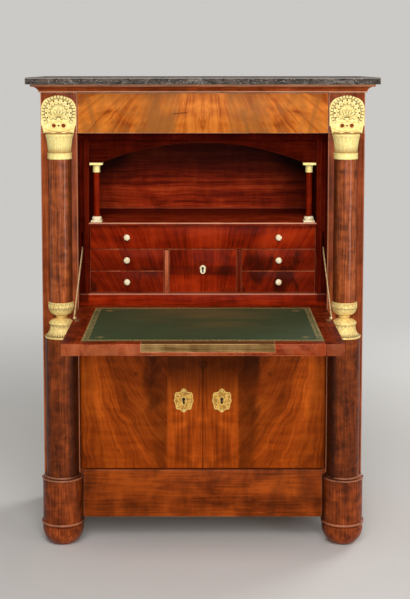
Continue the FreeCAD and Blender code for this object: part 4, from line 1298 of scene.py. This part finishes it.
def flat_leaf(
    inner: float, outer: float, half_width: float, rise: float, width: Curve = spear
) -> bmesh.types.BMesh:
    """A leaf that lies flat and points away from the centre, along Y.

    Args:
        inner: where it starts.
        outer: where its tip lies.
        half_width: half its width.
        rise: its relief.
        width: its width along its length, as a share.

    Returns:
        The leaf.
    """

    def place(across: float, along: float, height: float) -> Vector:
        """Returns a point of the leaf."""
        return Vector((half_width * width(along) * across, inner + (outer - inner) * along, height))

    return relief(place, leaf_height(rise), columns=6, rows=9)


def tube(
    path: Callable[[float], Vector], radius: Curve, steps: int, closed: bool = False, sides: int = 8
) -> bpy.types.Mesh:
    """A bead that follows a path on a flat face.

    Args:
        path: gives a point for a share along the path.
        radius: gives the bead's radius there.
        steps: how many stretches.
        closed: whether the path meets its start.
        sides: facets round the bead.

    Returns:
        The bead's mesh.
    """
    shape = bmesh.new()
    shape.verts.layers.float.new("tarnish")
    rings: list[list[bmesh.types.BMVert]] = []
    for step in range(steps if closed else steps + 1):
        share = step / steps
        run = (path(share + 0.002) - path(share - 0.002)).normalized()
        out = run.cross(Vector((0.0, 0.0, 1.0)))
        ring = []
        for side in range(sides):
            angle = 2 * math.pi * side / sides
            offset = out * math.cos(angle) + Vector((0.0, 0.0, math.sin(angle)))
            ring.append(shape.verts.new(path(share) + offset * radius(share)))
        rings.append(ring)
    skin(shape, rings, closed)
    if not closed:
        shape.faces.new(rings[0][::-1])
        shape.faces.new(rings[-1])
    bmesh.ops.recalc_face_normals(shape, faces=shape.faces)
    return mesh_of(shape, "bead")


def winding(
    centre: Place, radii: Spot, first: float, sweep: float, shrink: float = 0.0, lift: float = 0.0
) -> Callable[[float], Vector]:
    """Gives a path that winds round a centre.

    Args:
        centre: the middle, at the height where the path starts.
        radii: its reach in X and in Y.
        first: the angle where it starts, in half turns.
        sweep: how far it winds, in half turns.
        shrink: the share of its reach that it loses on the way.
        lift: how far it rises on the way.

    Returns:
        The path, for shares of 0 to 1.
    """

    def path(share: float) -> Vector:
        """Returns a point of the path."""
        angle = math.pi * (first + sweep * share)
        size = 1.0 - shrink * share
        x = centre[0] + radii[0] * size * math.cos(angle)
        y = centre[1] + radii[1] * size * math.sin(angle)
        return Vector((x, y, centre[2] + lift * share))

    return path


def turning(outline: Sequence[Spot], segments: int = 32) -> bpy.types.Mesh:
    """A full turning about Z, closed at both poles.

    Args:
        outline: the radius and height of each ring.
        segments: facets round it.

    Returns:
        The turning's mesh.
    """
    shape = bmesh.new()
    shape.verts.layers.float.new("tarnish")
    poles = [shape.verts.new((0.0, 0.0, outline[0][1])), shape.verts.new((0.0, 0.0, outline[-1][1]))]
    angles = [2 * math.pi * step / segments for step in range(segments)]
    rings = []
    for radius, level in outline:
        rings.append([shape.verts.new((radius * math.cos(a), radius * math.sin(a), level)) for a in angles])
    skin(shape, rings)
    for step in range(segments):
        shape.faces.new((poles[0], rings[0][step], rings[0][step - 1]))
        shape.faces.new((poles[1], rings[-1][step - 1], rings[-1][step]))
    return mesh_of(shape, "turning")


def bend(first: Spot, pull: Spot, last: Spot, base: float = 0.0) -> Callable[[float], Spot]:
    """Gives a curve from one spot to another.

    Args:
        first: where it starts.
        pull: the spot that it is pulled towards.
        last: where it ends.
        base: how far it is raised.

    Returns:
        The curve, for shares of 0 to 1.
    """

    def path(share: float) -> Spot:
        """Returns the radius and height at a share."""
        weights = ((1 - share) ** 2, 2 * share * (1 - share), share * share)
        radius = sum(weight * spot[0] for weight, spot in zip(weights, (first, pull, last)))
        level = sum(weight * spot[1] for weight, spot in zip(weights, (first, pull, last)))
        return radius, level + base

    return path


def upright_face(x: float, y: float, z: float) -> Matrix:
    """Stands a flat shape up to face the front, at a place."""
    return Matrix.Translation((x, y, z)) @ Matrix.Rotation(math.radians(90.0), 4, "X")


@dataclass(frozen=True)
class GiltColumns:
    """Leaves and beads on the capitals and bases of the upper columns."""

    axis: Spot = (0.4205, 0.03525)
    capital_low: float = 1.1585
    capital_step: float = 18.0
    base_low: float = 0.628
    base_step: float = 20.0

    def build(self, row: RingRow) -> None:
        """Builds the ornament of both columns.

        Args:
            row: sets the leaves round the axis.
        """
        parts = (("capital_leaves", self._capital, CAPITAL_GILT), ("base_leaves", self._base, BASE_GILT))
        for name, meshes, finish in parts:
            casting = Casting(name)
            for side in SIDES.values():
                casting.add(Matrix.Translation((self.axis[0] * side, self.axis[1], 0.0)), *meshes(row))
            settle(casting.piece(finish), "case", "gilt_bronze")

    @staticmethod
    def _bead(radius: float, level: float, thick: float) -> bpy.types.Mesh:
        """Returns a fine bead round the front half of a turning."""
        path = winding((0.0, 0.0, level), (radius, radius), first=1.0, sweep=1.0)
        return tube(path, lambda share: thick, steps=40)

    def _capital(self, row: RingRow) -> list[bpy.types.Mesh]:
        """Sets tongue leaves over a ring with three fine beads.

        Args:
            row: sets the leaves round the axis.

        Returns:
            The meshes of one capital.
        """
        bell = bend((0.0336, 0.0190), (0.0340, 0.048), (0.0404, 0.0705), self.capital_low)
        between = bend((0.0336, 0.0190), (0.0340, 0.048), (0.0405, 0.0725), self.capital_low)
        leaves = (
            (10, turned_leaf(between, half_turn=6.0, rise=0.0010, width=spear)),
            (9, turned_leaf(bell, half_turn=8.4, rise=0.0015, width=tongue, lean=0.0008)),
        )
        meshes = [row.copies(leaf, count, self.capital_step) for count, leaf in leaves]
        for level in (0.0032, 0.0158, 0.0188):
            meshes.append(self._bead(radius=0.0356, level=self.capital_low + level, thick=0.0009))
        return meshes

    def _base(self, row: RingRow) -> list[bpy.types.Mesh]:
        """Sets leaves up the bell, leaf tips under the cup and a carved band round it.

        Args:
            row: sets the leaves round the axis.

        Returns:
            The meshes of one base.
        """
        bell = bend((0.0483, 0.0055), (0.0292, 0.0176), (0.0332, 0.0385), self.base_low)
        bowl = bend((0.0362, 0.0850), (0.0330, 0.0720), (0.0170, 0.0665), self.base_low)
        band = bend((0.0365, 0.0835), (0.0365, 0.095), (0.0365, 0.1050), self.base_low)
        leaves = (
            (9, turned_leaf(bell, half_turn=6.5, rise=0.0013, width=spear)),
            (8, turned_leaf(bell, half_turn=10.0, rise=0.0019, width=tongue)),
            (9, turned_leaf(bowl, half_turn=9.0, rise=0.0014, width=tongue)),
            (9, turned_leaf(band, half_turn=8.6, rise=0.0022, width=spear)),
            (8, turned_leaf(band, half_turn=4.2, rise=0.0014, width=tongue)),
        )
        meshes = [row.copies(leaf, count, self.base_step) for count, leaf in leaves]
        beads = ((0.0367, 0.1050, 0.0010), (0.0367, 0.0845, 0.0011), (0.0490, 0.0046, 0.0009))
        for radius, level, thick in beads:
            meshes.append(self._bead(radius, self.base_low + level, thick))
        return meshes


@dataclass(frozen=True)
class WreathMounts:
    """The pierced medallions: a border of leaves round a palmette, over scrolls and a swag."""

    centre: Place = (0.4225, 0.03025, 1.2883)
    crown: float = 0.006
    sweep: float = 230.0
    piercings: int = 11
    eye: Spot = (0.014, -0.0325)
    scroll: Spot = (0.0380, -0.0445)
    root: float = -0.015
    boss: tuple[Spot, ...] = (
        (0.0001, -0.001), (0.0062, 0.0), (0.0055, 0.0026), (0.0030, 0.0040), (0.0002, 0.0044),
    )

    def build(self, row: RingRow) -> None:
        """Builds both medallions' relief.

        Args:
            row: sets the leaves round the middle.
        """
        casting = Casting("wreath_relief")
        for side in SIDES.values():
            place = upright_face(self.centre[0] * side, self.centre[1], self.centre[2])
            casting.add(place, *self._relief(row))
        settle(casting.piece(GILT), "case", "gilt_bronze")

    def _relief(self, row: RingRow) -> list[bpy.types.Mesh]:
        """Gathers one medallion's relief, lying flat.

        Args:
            row: sets the leaves round the middle.

        Returns:
            The meshes of the relief.
        """
        step = self.sweep / (self.piercings - 1)
        border = flat_leaf(inner=0.0394, outer=0.0508, half_width=0.0050, rise=0.0022, width=tongue)
        inner = flat_leaf(inner=0.0215, outer=0.0328, half_width=0.0054, rise=0.0020)
        palm = flat_leaf(inner=0.0060, outer=0.0330, half_width=0.0042, rise=0.0034, width=tongue)
        meshes = [
            row.copies(border, 2 * self.piercings + 1, step / 2),
            row.copies(inner, self.piercings + 1, step),
            self._loop(0.0, 0.0, radius=0.0195, thick=0.0014),
        ]
        for mesh in meshes:
            mesh.transform(Matrix.Translation((0.0, self.crown, 0.0)))
        for mesh in (row.copies(palm, count=7, step=22.0), turning(self.boss)):
            mesh.transform(Matrix.Translation((0.0, self.root, 0.0)))
            meshes.append(mesh)
        for side in SIDES.values():
            meshes.append(self._loop(self.eye[0] * side, self.eye[1], radius=0.0078, thick=0.0012))
            meshes.append(self._scroll(self.scroll[0] * side, self.scroll[1], -side))
            meshes.append(self._stem(side))
        meshes.append(self._swag())
        return meshes

    @staticmethod
    def _loop(x: float, y: float, radius: float, thick: float) -> bpy.types.Mesh:
        """Returns a round bead."""
        path = winding((x, y, 0.0006), (radius, radius), first=0.0, sweep=2.0)
        return tube(path, lambda share: thick, steps=40, closed=True)

    @staticmethod
    def _scroll(x: float, y: float, side: int) -> bpy.types.Mesh:
        """Returns a scroll that winds in on its eye."""
        path = winding((x, y, 0.0008), (0.0075, 0.0075), first=0.5, sweep=3.2 * side, shrink=0.62, lift=0.0012)
        return tube(path, lambda share: 0.0019 - 0.0007 * share, steps=34)

    @staticmethod
    def _stem(side: int) -> bpy.types.Mesh:
        """Draws a stem that leaves the palmette's root for a scroll.

        Args:
            side: -1 for the left and 1 for the right.

        Returns:
            The stem's mesh.
        """
        line = bend((0.003 * side, -0.018), (0.008 * side, -0.024), (0.032 * side, -0.0195))

        def path(share: float) -> Vector:
            """Returns a point of the stem's line."""
            return Vector((*line(share), 0.001))

        return tube(path, lambda share: 0.0022 - 0.0012 * share, steps=16)

    @staticmethod
    def _swag() -> bpy.types.Mesh:
        """Returns a swag of leaves between the corner scrolls."""

        def path(share: float) -> Vector:
            """Returns a point of the swag's line."""
            return Vector((0.064 * (share - 0.5), -0.0445 - 0.004 * math.sin(math.pi * share), 0.0008))

        return tube(path, lambda share: 0.0022 + 0.0009 * math.sin(share * 60.0), steps=60)


@dataclass(frozen=True)
class Keyhole:
    """A dark plate of the keyhole's shape just behind the hole, painted shade for the dark inside, with a key
    pin.

    Attributes:
        eye: the radius of the round eye.
        rise: the eye's height over the slot's top.
        drop: how far the slot hangs.
        slot_share: half the slot's width, as a share of the eye.
        eye_reach: how far the plate reaches round the eye, as a share.
        slot_reach: how far it reaches under the slot, as a share.
        thick: the plate's thickness.
        pin: the radius and height of the pin's rings.
    """

    eye: float
    rise: float
    drop: float
    slot_share: float = 0.62
    eye_reach: float = 1.05
    slot_reach: float = 1.02
    thick: float = 0.0004
    pin: tuple[Spot, ...] = ((0.0008, 0.0002), (0.0008, 0.0016), (0.0004, 0.0019))

    def build(self, name: str, body: str, face: Matrix) -> None:
        """Builds the dark plate and its pin.

        Args:
            name: the piece's name.
            body: the CAD body that carries it.
            face: where it stands.
        """
        shade_plate = Casting(name)
        shade_plate.add(face, self._plate(), turning(self.pin, segments=12))
        settle(shade_plate.piece(KEYHOLE_SHADE), body, "brass")

    def _plate(self) -> bpy.types.Mesh:
        """Cuts the plate, lying flat.

        Returns:
            The plate's mesh.
        """
        shape = bmesh.new()
        shape.verts.layers.float.new("tarnish")
        angles = [math.radians(angle) for angle in range(-50, 231, 20)]
        reach = self.eye * self.eye_reach
        slot, foot = self.eye * self.slot_share, -self.drop * self.slot_reach
        edge = [(reach * math.cos(angle), self.rise + reach * math.sin(angle)) for angle in angles]
        edge += [(-slot, foot), (slot, foot)]
        rings = [[shape.verts.new((x, y, level)) for x, y in edge] for level in (0.0, self.thick)]
        skin(shape, rings)
        for ring in rings:
            shape.faces.new(ring)
        bmesh.ops.recalc_face_normals(shape, faces=shape.faces)
        return mesh_of(shape, "keyhole")


@dataclass(frozen=True)
class Escutcheons:
    """The doors' lobed key plates: a raised rim, four scrolls, a collar, and the dark plate of painted shade
    behind the keyhole.
    """

    half: Spot = (0.030, 0.037)
    rim_share: float = 0.955
    inset: float = 0.057
    level: float = 0.433
    door_face: float = 0.03725
    thick: float = 0.0025
    keyhole: Keyhole = Keyhole(eye=0.0049, rise=0.0040, drop=0.0105)
    crest: float = -0.5
    lobes: tuple[Place, ...] = (
        (0.37, -0.71, -0.06), (0.80, -0.46, -0.36), (1.0, 0.0, 0.06),
        (0.87, 0.20, 0.0), (0.78, 0.67, -0.14), (0.30, 0.75, 0.04),
    )

    def build(self, row: RingRow) -> None:
        """Builds the relief of both plates.

        Args:
            row: sets the leaf tips.
        """
        for name, side in SIDES.items():
            casting = Casting(f"escutcheon_relief_{name}")
            place = upright_face(self.inset * side, self.door_face - self.thick, self.level)
            casting.add(place, *self._relief(row))
            settle(casting.piece(BRIGHT_GILT), f"door_{name}", "gilt_bronze")
            face = upright_face(self.inset * side, self.door_face, self.level)
            self.keyhole.build(f"door_lock_{name}", f"door_{name}", face)

    def _relief(self, row: RingRow) -> list[bpy.types.Mesh]:
        """Gathers one plate's relief, lying flat.

        Args:
            row: sets the leaf tips.

        Returns:
            The meshes of the relief.
        """
        tip = flat_leaf(inner=0.0235, outer=0.0335, half_width=0.0050, rise=0.0016)
        collar = winding((0.0, -0.001, 0.0), (0.0078, 0.0125), first=0.0, sweep=2.0)
        meshes = [
            tube(self._rim, lambda share: 0.0016, steps=84, closed=True, sides=6),
            tube(collar, lambda share: 0.0009, steps=40, closed=True, sides=6),
            row.copies(tip, count=2, step=180.0, first=0.0),
        ]
        for side in (-1, 1):
            for up in (-1, 1):
                centre, radii = (side * 0.0165, up * 0.0115, 0.0), (side * 0.0068, up * 0.0068)
                curl = winding(centre, radii, first=0.2, sweep=1.7, shrink=0.6)
                meshes.append(tube(curl, lambda share: 0.0015 - 0.0006 * share, steps=24, sides=6))
        return meshes

    def _corners(self) -> list[Place]:
        """Lists the rim's corners.

        Returns:
            Each corner, with the arc of the edge that reaches it.
        """
        points = [(0.0, -1.0, self.lobes[0][2]), *self.lobes]
        arc = self.crest
        for across, up, bulge in reversed(self.lobes):
            points.append((-across, up, arc))
            arc = bulge
        return points

    def _rim(self, share: float) -> Vector:
        """Follows the rim, just inside the plate's edge.

        Args:
            share: the share of the way round.

        Returns:
            The point there.
        """
        corners = self._corners()
        spot = share % 1.0 * len(corners)
        index = int(spot) % len(corners)
        part = spot - int(spot)
        here = corners[index]
        there = corners[(index + 1) % len(corners)]
        begin = Vector((here[0] * self.half[0], here[1] * self.half[1], 0.0))
        end = Vector((there[0] * self.half[0], there[1] * self.half[1], 0.0))
        run = end - begin
        bow = Vector((-run.y, run.x, 0.0)) * there[2] * 4 * part * (1 - part)
        return (begin + run * part + bow) * self.rim_share


@dataclass(frozen=True)
class SmallFittings:
    """The pins in the bone knobs and the dark plate of painted shade behind the bone key plate."""

    knob_x: float = 0.2275
    knob_length: float = 0.015
    drawer_face: float = 0.09025
    keyhole: Keyhole = Keyhole(eye=0.0040, rise=0.0033, drop=0.0095)
    pin: tuple[Spot, ...] = (
        (0.0001, -0.0012), (0.0021, -0.0010), (0.0021, 0.0001), (0.0012, 0.0006), (0.0001, 0.0007),
    )

    def build(self) -> None:
        """Builds the pins and the dark plate behind the key plate."""
        for corner in CORNERS:
            middle = self._middle(f"knob_{corner}")
            self._pins(f"knob_pin_{corner}", f"small_drawer_{corner}", middle.z, [middle.x])
        ends = [self.knob_x * side for side in SIDES.values()]
        self._pins("wide_drawer_knob_pins", "wide_drawer", self._middle("wide_drawer_knobs").z, ends)
        face = upright_face(0.0, self.drawer_face, self._middle("centre_drawer_key_plate").z)
        self.keyhole.build("centre_drawer_lock", "centre_drawer", face)

    @staticmethod
    def _middle(node: str) -> Vector:
        """Returns the middle of a node."""
        low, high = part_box(node)
        return (low + high) / 2

    def _pins(self, name: str, body: str, level: float, places: Sequence[float]) -> None:
        """Sets a small domed pin in the end of each knob.

        Args:
            name: the piece's name.
            body: the drawer that carries it.
            level: the height of the knobs.
            places: the place of each knob across the desk.
        """
        tip = self.drawer_face - self.knob_length
        casting = Casting(name)
        for place in places:
            casting.add(upright_face(place, tip, level), turning(self.pin, segments=20))
        settle(casting.piece(BRASS), body, "brass")


@dataclass(frozen=True)
class Carcass:
    """The case: marble, cornice, stiles, frieze, plinth, columns, back and floor."""

    def build(self) -> None:
        """Dresses the case's boards and turnings."""
        coat(MARBLE, "marble_top")
        Boards("cornice", CORNICE_WOOD, rounding=Rounding.FINE).build()
        for node in ("stiles", "frieze_blocks"):
            Boards(node, STILE_WOOD, rounding=Rounding.SOFT).build()
        Boards("plinth_facing", MAHOGANY, PLINTH_EDGE, Rounding.SOFT, PLINTH_VENEER).build()
        Boards("side_panels", MAHOGANY, rounding=Rounding.SOFT).build()
        Boards("desk_deck", MAHOGANY).build()
        coat(SHAFT_MAHOGANY, "column_shafts")
        coat(TURNED_MAHOGANY, "lower_columns")
        coat(DRUM_MAHOGANY, "plinth_drums")
        coat(FOOT_MAHOGANY, "front_feet")
        coat(MAHOGANY.along(Axis.ACROSS), "plinth_rail", "top_board")
        coat(SHADED_RED, "linings", "dust_board")
        coat(OAK, "back_frame", "rear_feet")
        Boards("back_panels", OAK, OAK).build()
        coat(OAK.along(Axis.ACROSS), "cupboard_floor", "cupboard_shelf")
        coat(CAPITAL_GILT, "capitals")
        coat(BASE_GILT, "column_bases")
        coat(GILT, "wreath_mounts")


@dataclass(frozen=True)
class FriezeDrawer:
    """The drawer across the frieze."""

    def build(self) -> None:
        """Dresses the drawer."""
        Boards("frieze_drawer_front", MAHOGANY, face=FRIEZE_VENEER).build()
        coat(OAK.along(Axis.DEEP), "frieze_drawer_box")


@dataclass(frozen=True)
class WritingInterior:
    """The fitted interior: drawers, niche, colonnettes and arch."""

    def build(self) -> None:
        """Dresses the interior."""
        Boards("nook_boards", RED_MAHOGANY, RED_EDGE, Rounding.FINE).build()
        Boards("nook_bottom_rail", RAIL_WOOD, RAIL_WOOD, Rounding.FINE).build()
        Boards("nook_shelf", SHELF_WOOD, SHELF_WOOD, Rounding.KEEN).build()
        Boards("nook_dividers", DIVIDER_WOOD, RED_EDGE, Rounding.KEEN).build()
        Boards("nook_sides", SHADED_RED, SHADED_EDGE, Rounding.KEEN).build()
        Boards("nook_arch", ARCH_WOOD, SHADED_EDGE, Rounding.CRISP).build()
        coat(NICHE_WOOD, "nook_back")
        coat(SHADED_RED, "stay_strips")
        coat(RED_MAHOGANY, "colonnettes")
        small = [f"small_drawer_{corner}" for corner in CORNERS]
        for front in ("wide_drawer_front", "centre_drawer_front", *small):
            Boards(front, RED_MAHOGANY, RED_EDGE, face=DRAWER_VENEER).build()
        coat(OAK.along(Axis.DEEP), "wide_drawer_box", "centre_drawer_box")
        coat(BONE, *(f"knob_{corner}" for corner in CORNERS))
        coat(BONE, "wide_drawer_knobs", "centre_drawer_key_plate", "colonnette_bases")
        coat(CAPITAL_GILT, "colonnette_capitals")


@dataclass(frozen=True)
class FallFront:
    """The writing fall: framed panel, leather, edge strip, pivots and stays."""

    def build(self) -> None:
        """Dresses the fall and its stays."""
        Boards("fall_panel", FALL_WOOD, RED_EDGE, Rounding.EASED, under=FALL_VENEER).build()
        coat(LEATHER, "fall_leather")
        Boards("fall_edge_strip", OLIVE_STRIP, STRIP_LINE, Rounding.FINE).build()
        coat(DULL_BRASS, "fall_fittings")
        coat(BRASS, "stay_left", "stay_right")


@dataclass(frozen=True)
class Cupboard:
    """The two cupboard doors."""

    def build(self) -> None:
        """Dresses the doors."""
        for side in SIDES:
            Boards(f"door_{side}", MAHOGANY, DOOR_EDGE, Rounding.SOFT, DOOR_VENEER).build()
            coat(WORN_GILT, f"door_fittings_{side}")


@dataclass(frozen=True)
class Lamp:
    """A soft lamp, square unless it has a height, that looks at the case."""

    name: str
    spot: Place
    power: float
    width: float
    height: float | None = None
    target: Place = (0.0, 0.1, 0.75)

    def build(self) -> None:
        """Hangs the lamp."""
        lamp = bpy.data.lights.new(self.name, "AREA")
        lamp.energy = self.power
        lamp.shape = "RECTANGLE"
        lamp.size = self.width
        lamp.size_y = self.height or self.width
        made = bpy.data.objects.new(self.name, lamp)
        made.location = self.spot
        made.rotation_euler = (Vector(self.target) - Vector(self.spot)).to_track_quat("-Z", "Y").to_euler()
        bpy.context.scene.collection.objects.link(made)


@dataclass(frozen=True)
class Studio:
    """The pale floor, the soft lamps and the camera.

    Attributes:
        eye: where the camera stands.
        pitch: how far it looks down, in degrees.
        lens: its focal length in millimetres.
        sensor: its width in millimetres.
        shift: how far its picture is moved across and up.
        lamps: the lamps.
        floor_half: half the floor's width.
        ground: the floor's colour.
        cloud: its faintly paler patches.
        pale: the colour of the surround.
        black: no light.
        dim: the surround's strength where its light falls.
        backdrop: its strength where it is looked at.
        near: how far out the floor starts to fade.
        far: how far out it has faded into the surround.
    """

    eye: Place = (0.0, -3.70475, 1.430)
    pitch: float = 5.4
    lens: float = 76.63
    sensor: float = 36.0
    shift: Spot = (0.0037, -0.1886)
    lamps: tuple[Lamp, ...] = (
        Lamp("key", (-0.3, -3.2, 3.9), power=105.0, width=2.2),
        Lamp("fill", (0.5, -4.6, 1.9), power=91.0, width=2.4),
        Lamp("strip", (3.2, -2.7, 1.05), power=38.0, width=0.9, height=1.9),
        Lamp("back", (3.0, 3.2, 1.8), power=110.0, width=1.8),
    )
    floor_half: float = 20.0
    ground: Colour = tint(214, 212, 208)
    cloud: Colour = tint(220, 218, 214)
    pale: Colour = (1.0, 0.98, 0.95, 1.0)
    black: Colour = (0.0, 0.0, 0.0, 1.0)
    dim: float = 0.2
    backdrop: float = 0.6
    near: float = 1.3
    far: float = 4.0

    def build(self) -> None:
        """Sets the stage."""
        self._floor()
        for lamp in self.lamps:
            lamp.build()
        self._sky()
        self._camera()
        bpy.context.scene.view_settings.view_transform = "Standard"

    def _floor(self) -> None:
        """Lays the floor, which keeps the shadow near the case and fades into the pale surround."""
        recipe = Recipe("studio_floor")
        x, y, _ = recipe.place()
        cloud = recipe.noise((x * 1.5, y * 1.5, 0.0), 3.0)
        faded = x.distance(y).step(self.near, self.far)
        colour = recipe.mix(cloud, self.ground, self.cloud)
        colour = recipe.mix(faded, colour, self.black)
        glow = recipe.mix(faded * recipe.seen() * self.backdrop, self.black, self.pale)
        finish = recipe.surface(
            Base_Color=colour, Roughness=0.8, Specular_IOR_Level=0.0, Emission_Color=glow, Emission_Strength=1.0
        )
        mesh = bpy.data.meshes.new("floor")
        turns = ((-1, -1), (1, -1), (1, 1), (-1, 1))
        corners = [(self.floor_half * across, self.floor_half * along, 0.0) for across, along in turns]
        mesh.from_pydata(corners, [], [(0, 1, 2, 3)])
        mesh.materials.append(finish)
        floor = bpy.data.objects.new("floor", mesh)
        bpy.context.scene.collection.objects.link(floor)

    def _sky(self) -> None:
        """Sets a soft dim surround that looks pale to the camera and in reflections."""
        surround = Recipe("studio", "worlds")
        level = surround.seen() * (self.backdrop - self.dim) + self.dim
        shade = surround.node("ShaderNodeBackground", {}, {"Color": self.pale, "Strength": level})
        surround.node("ShaderNodeOutputWorld", {}, {"Surface": shade})
        bpy.context.scene.world = surround.owner

    def _camera(self) -> None:
        """Stands the camera where the picture was taken from."""
        camera = bpy.data.cameras.new("camera")
        camera.lens = self.lens
        camera.sensor_width = self.sensor
        camera.shift_x, camera.shift_y = self.shift
        made = bpy.data.objects.new("camera", camera)
        made.location = self.eye
        made.rotation_euler = (math.radians(90.0 - self.pitch), 0.0, 0.0)
        bpy.context.scene.collection.objects.link(made)
        bpy.context.scene.camera = made


def main() -> None:
    """Builds the escritoire's looks and the studio around it."""
    logging.basicConfig(level=logging.INFO, format="%(name)s: %(message)s")
    row = RingRow()
    for assembly in (Carcass(), FriezeDrawer(), WritingInterior(), FallFront(), Cupboard(), SmallFittings()):
        assembly.build()
    for ornament in (GiltColumns(), WreathMounts(), Escutcheons()):
        ornament.build(row)
    Studio().build()


if __name__ == "__main__":
    main()
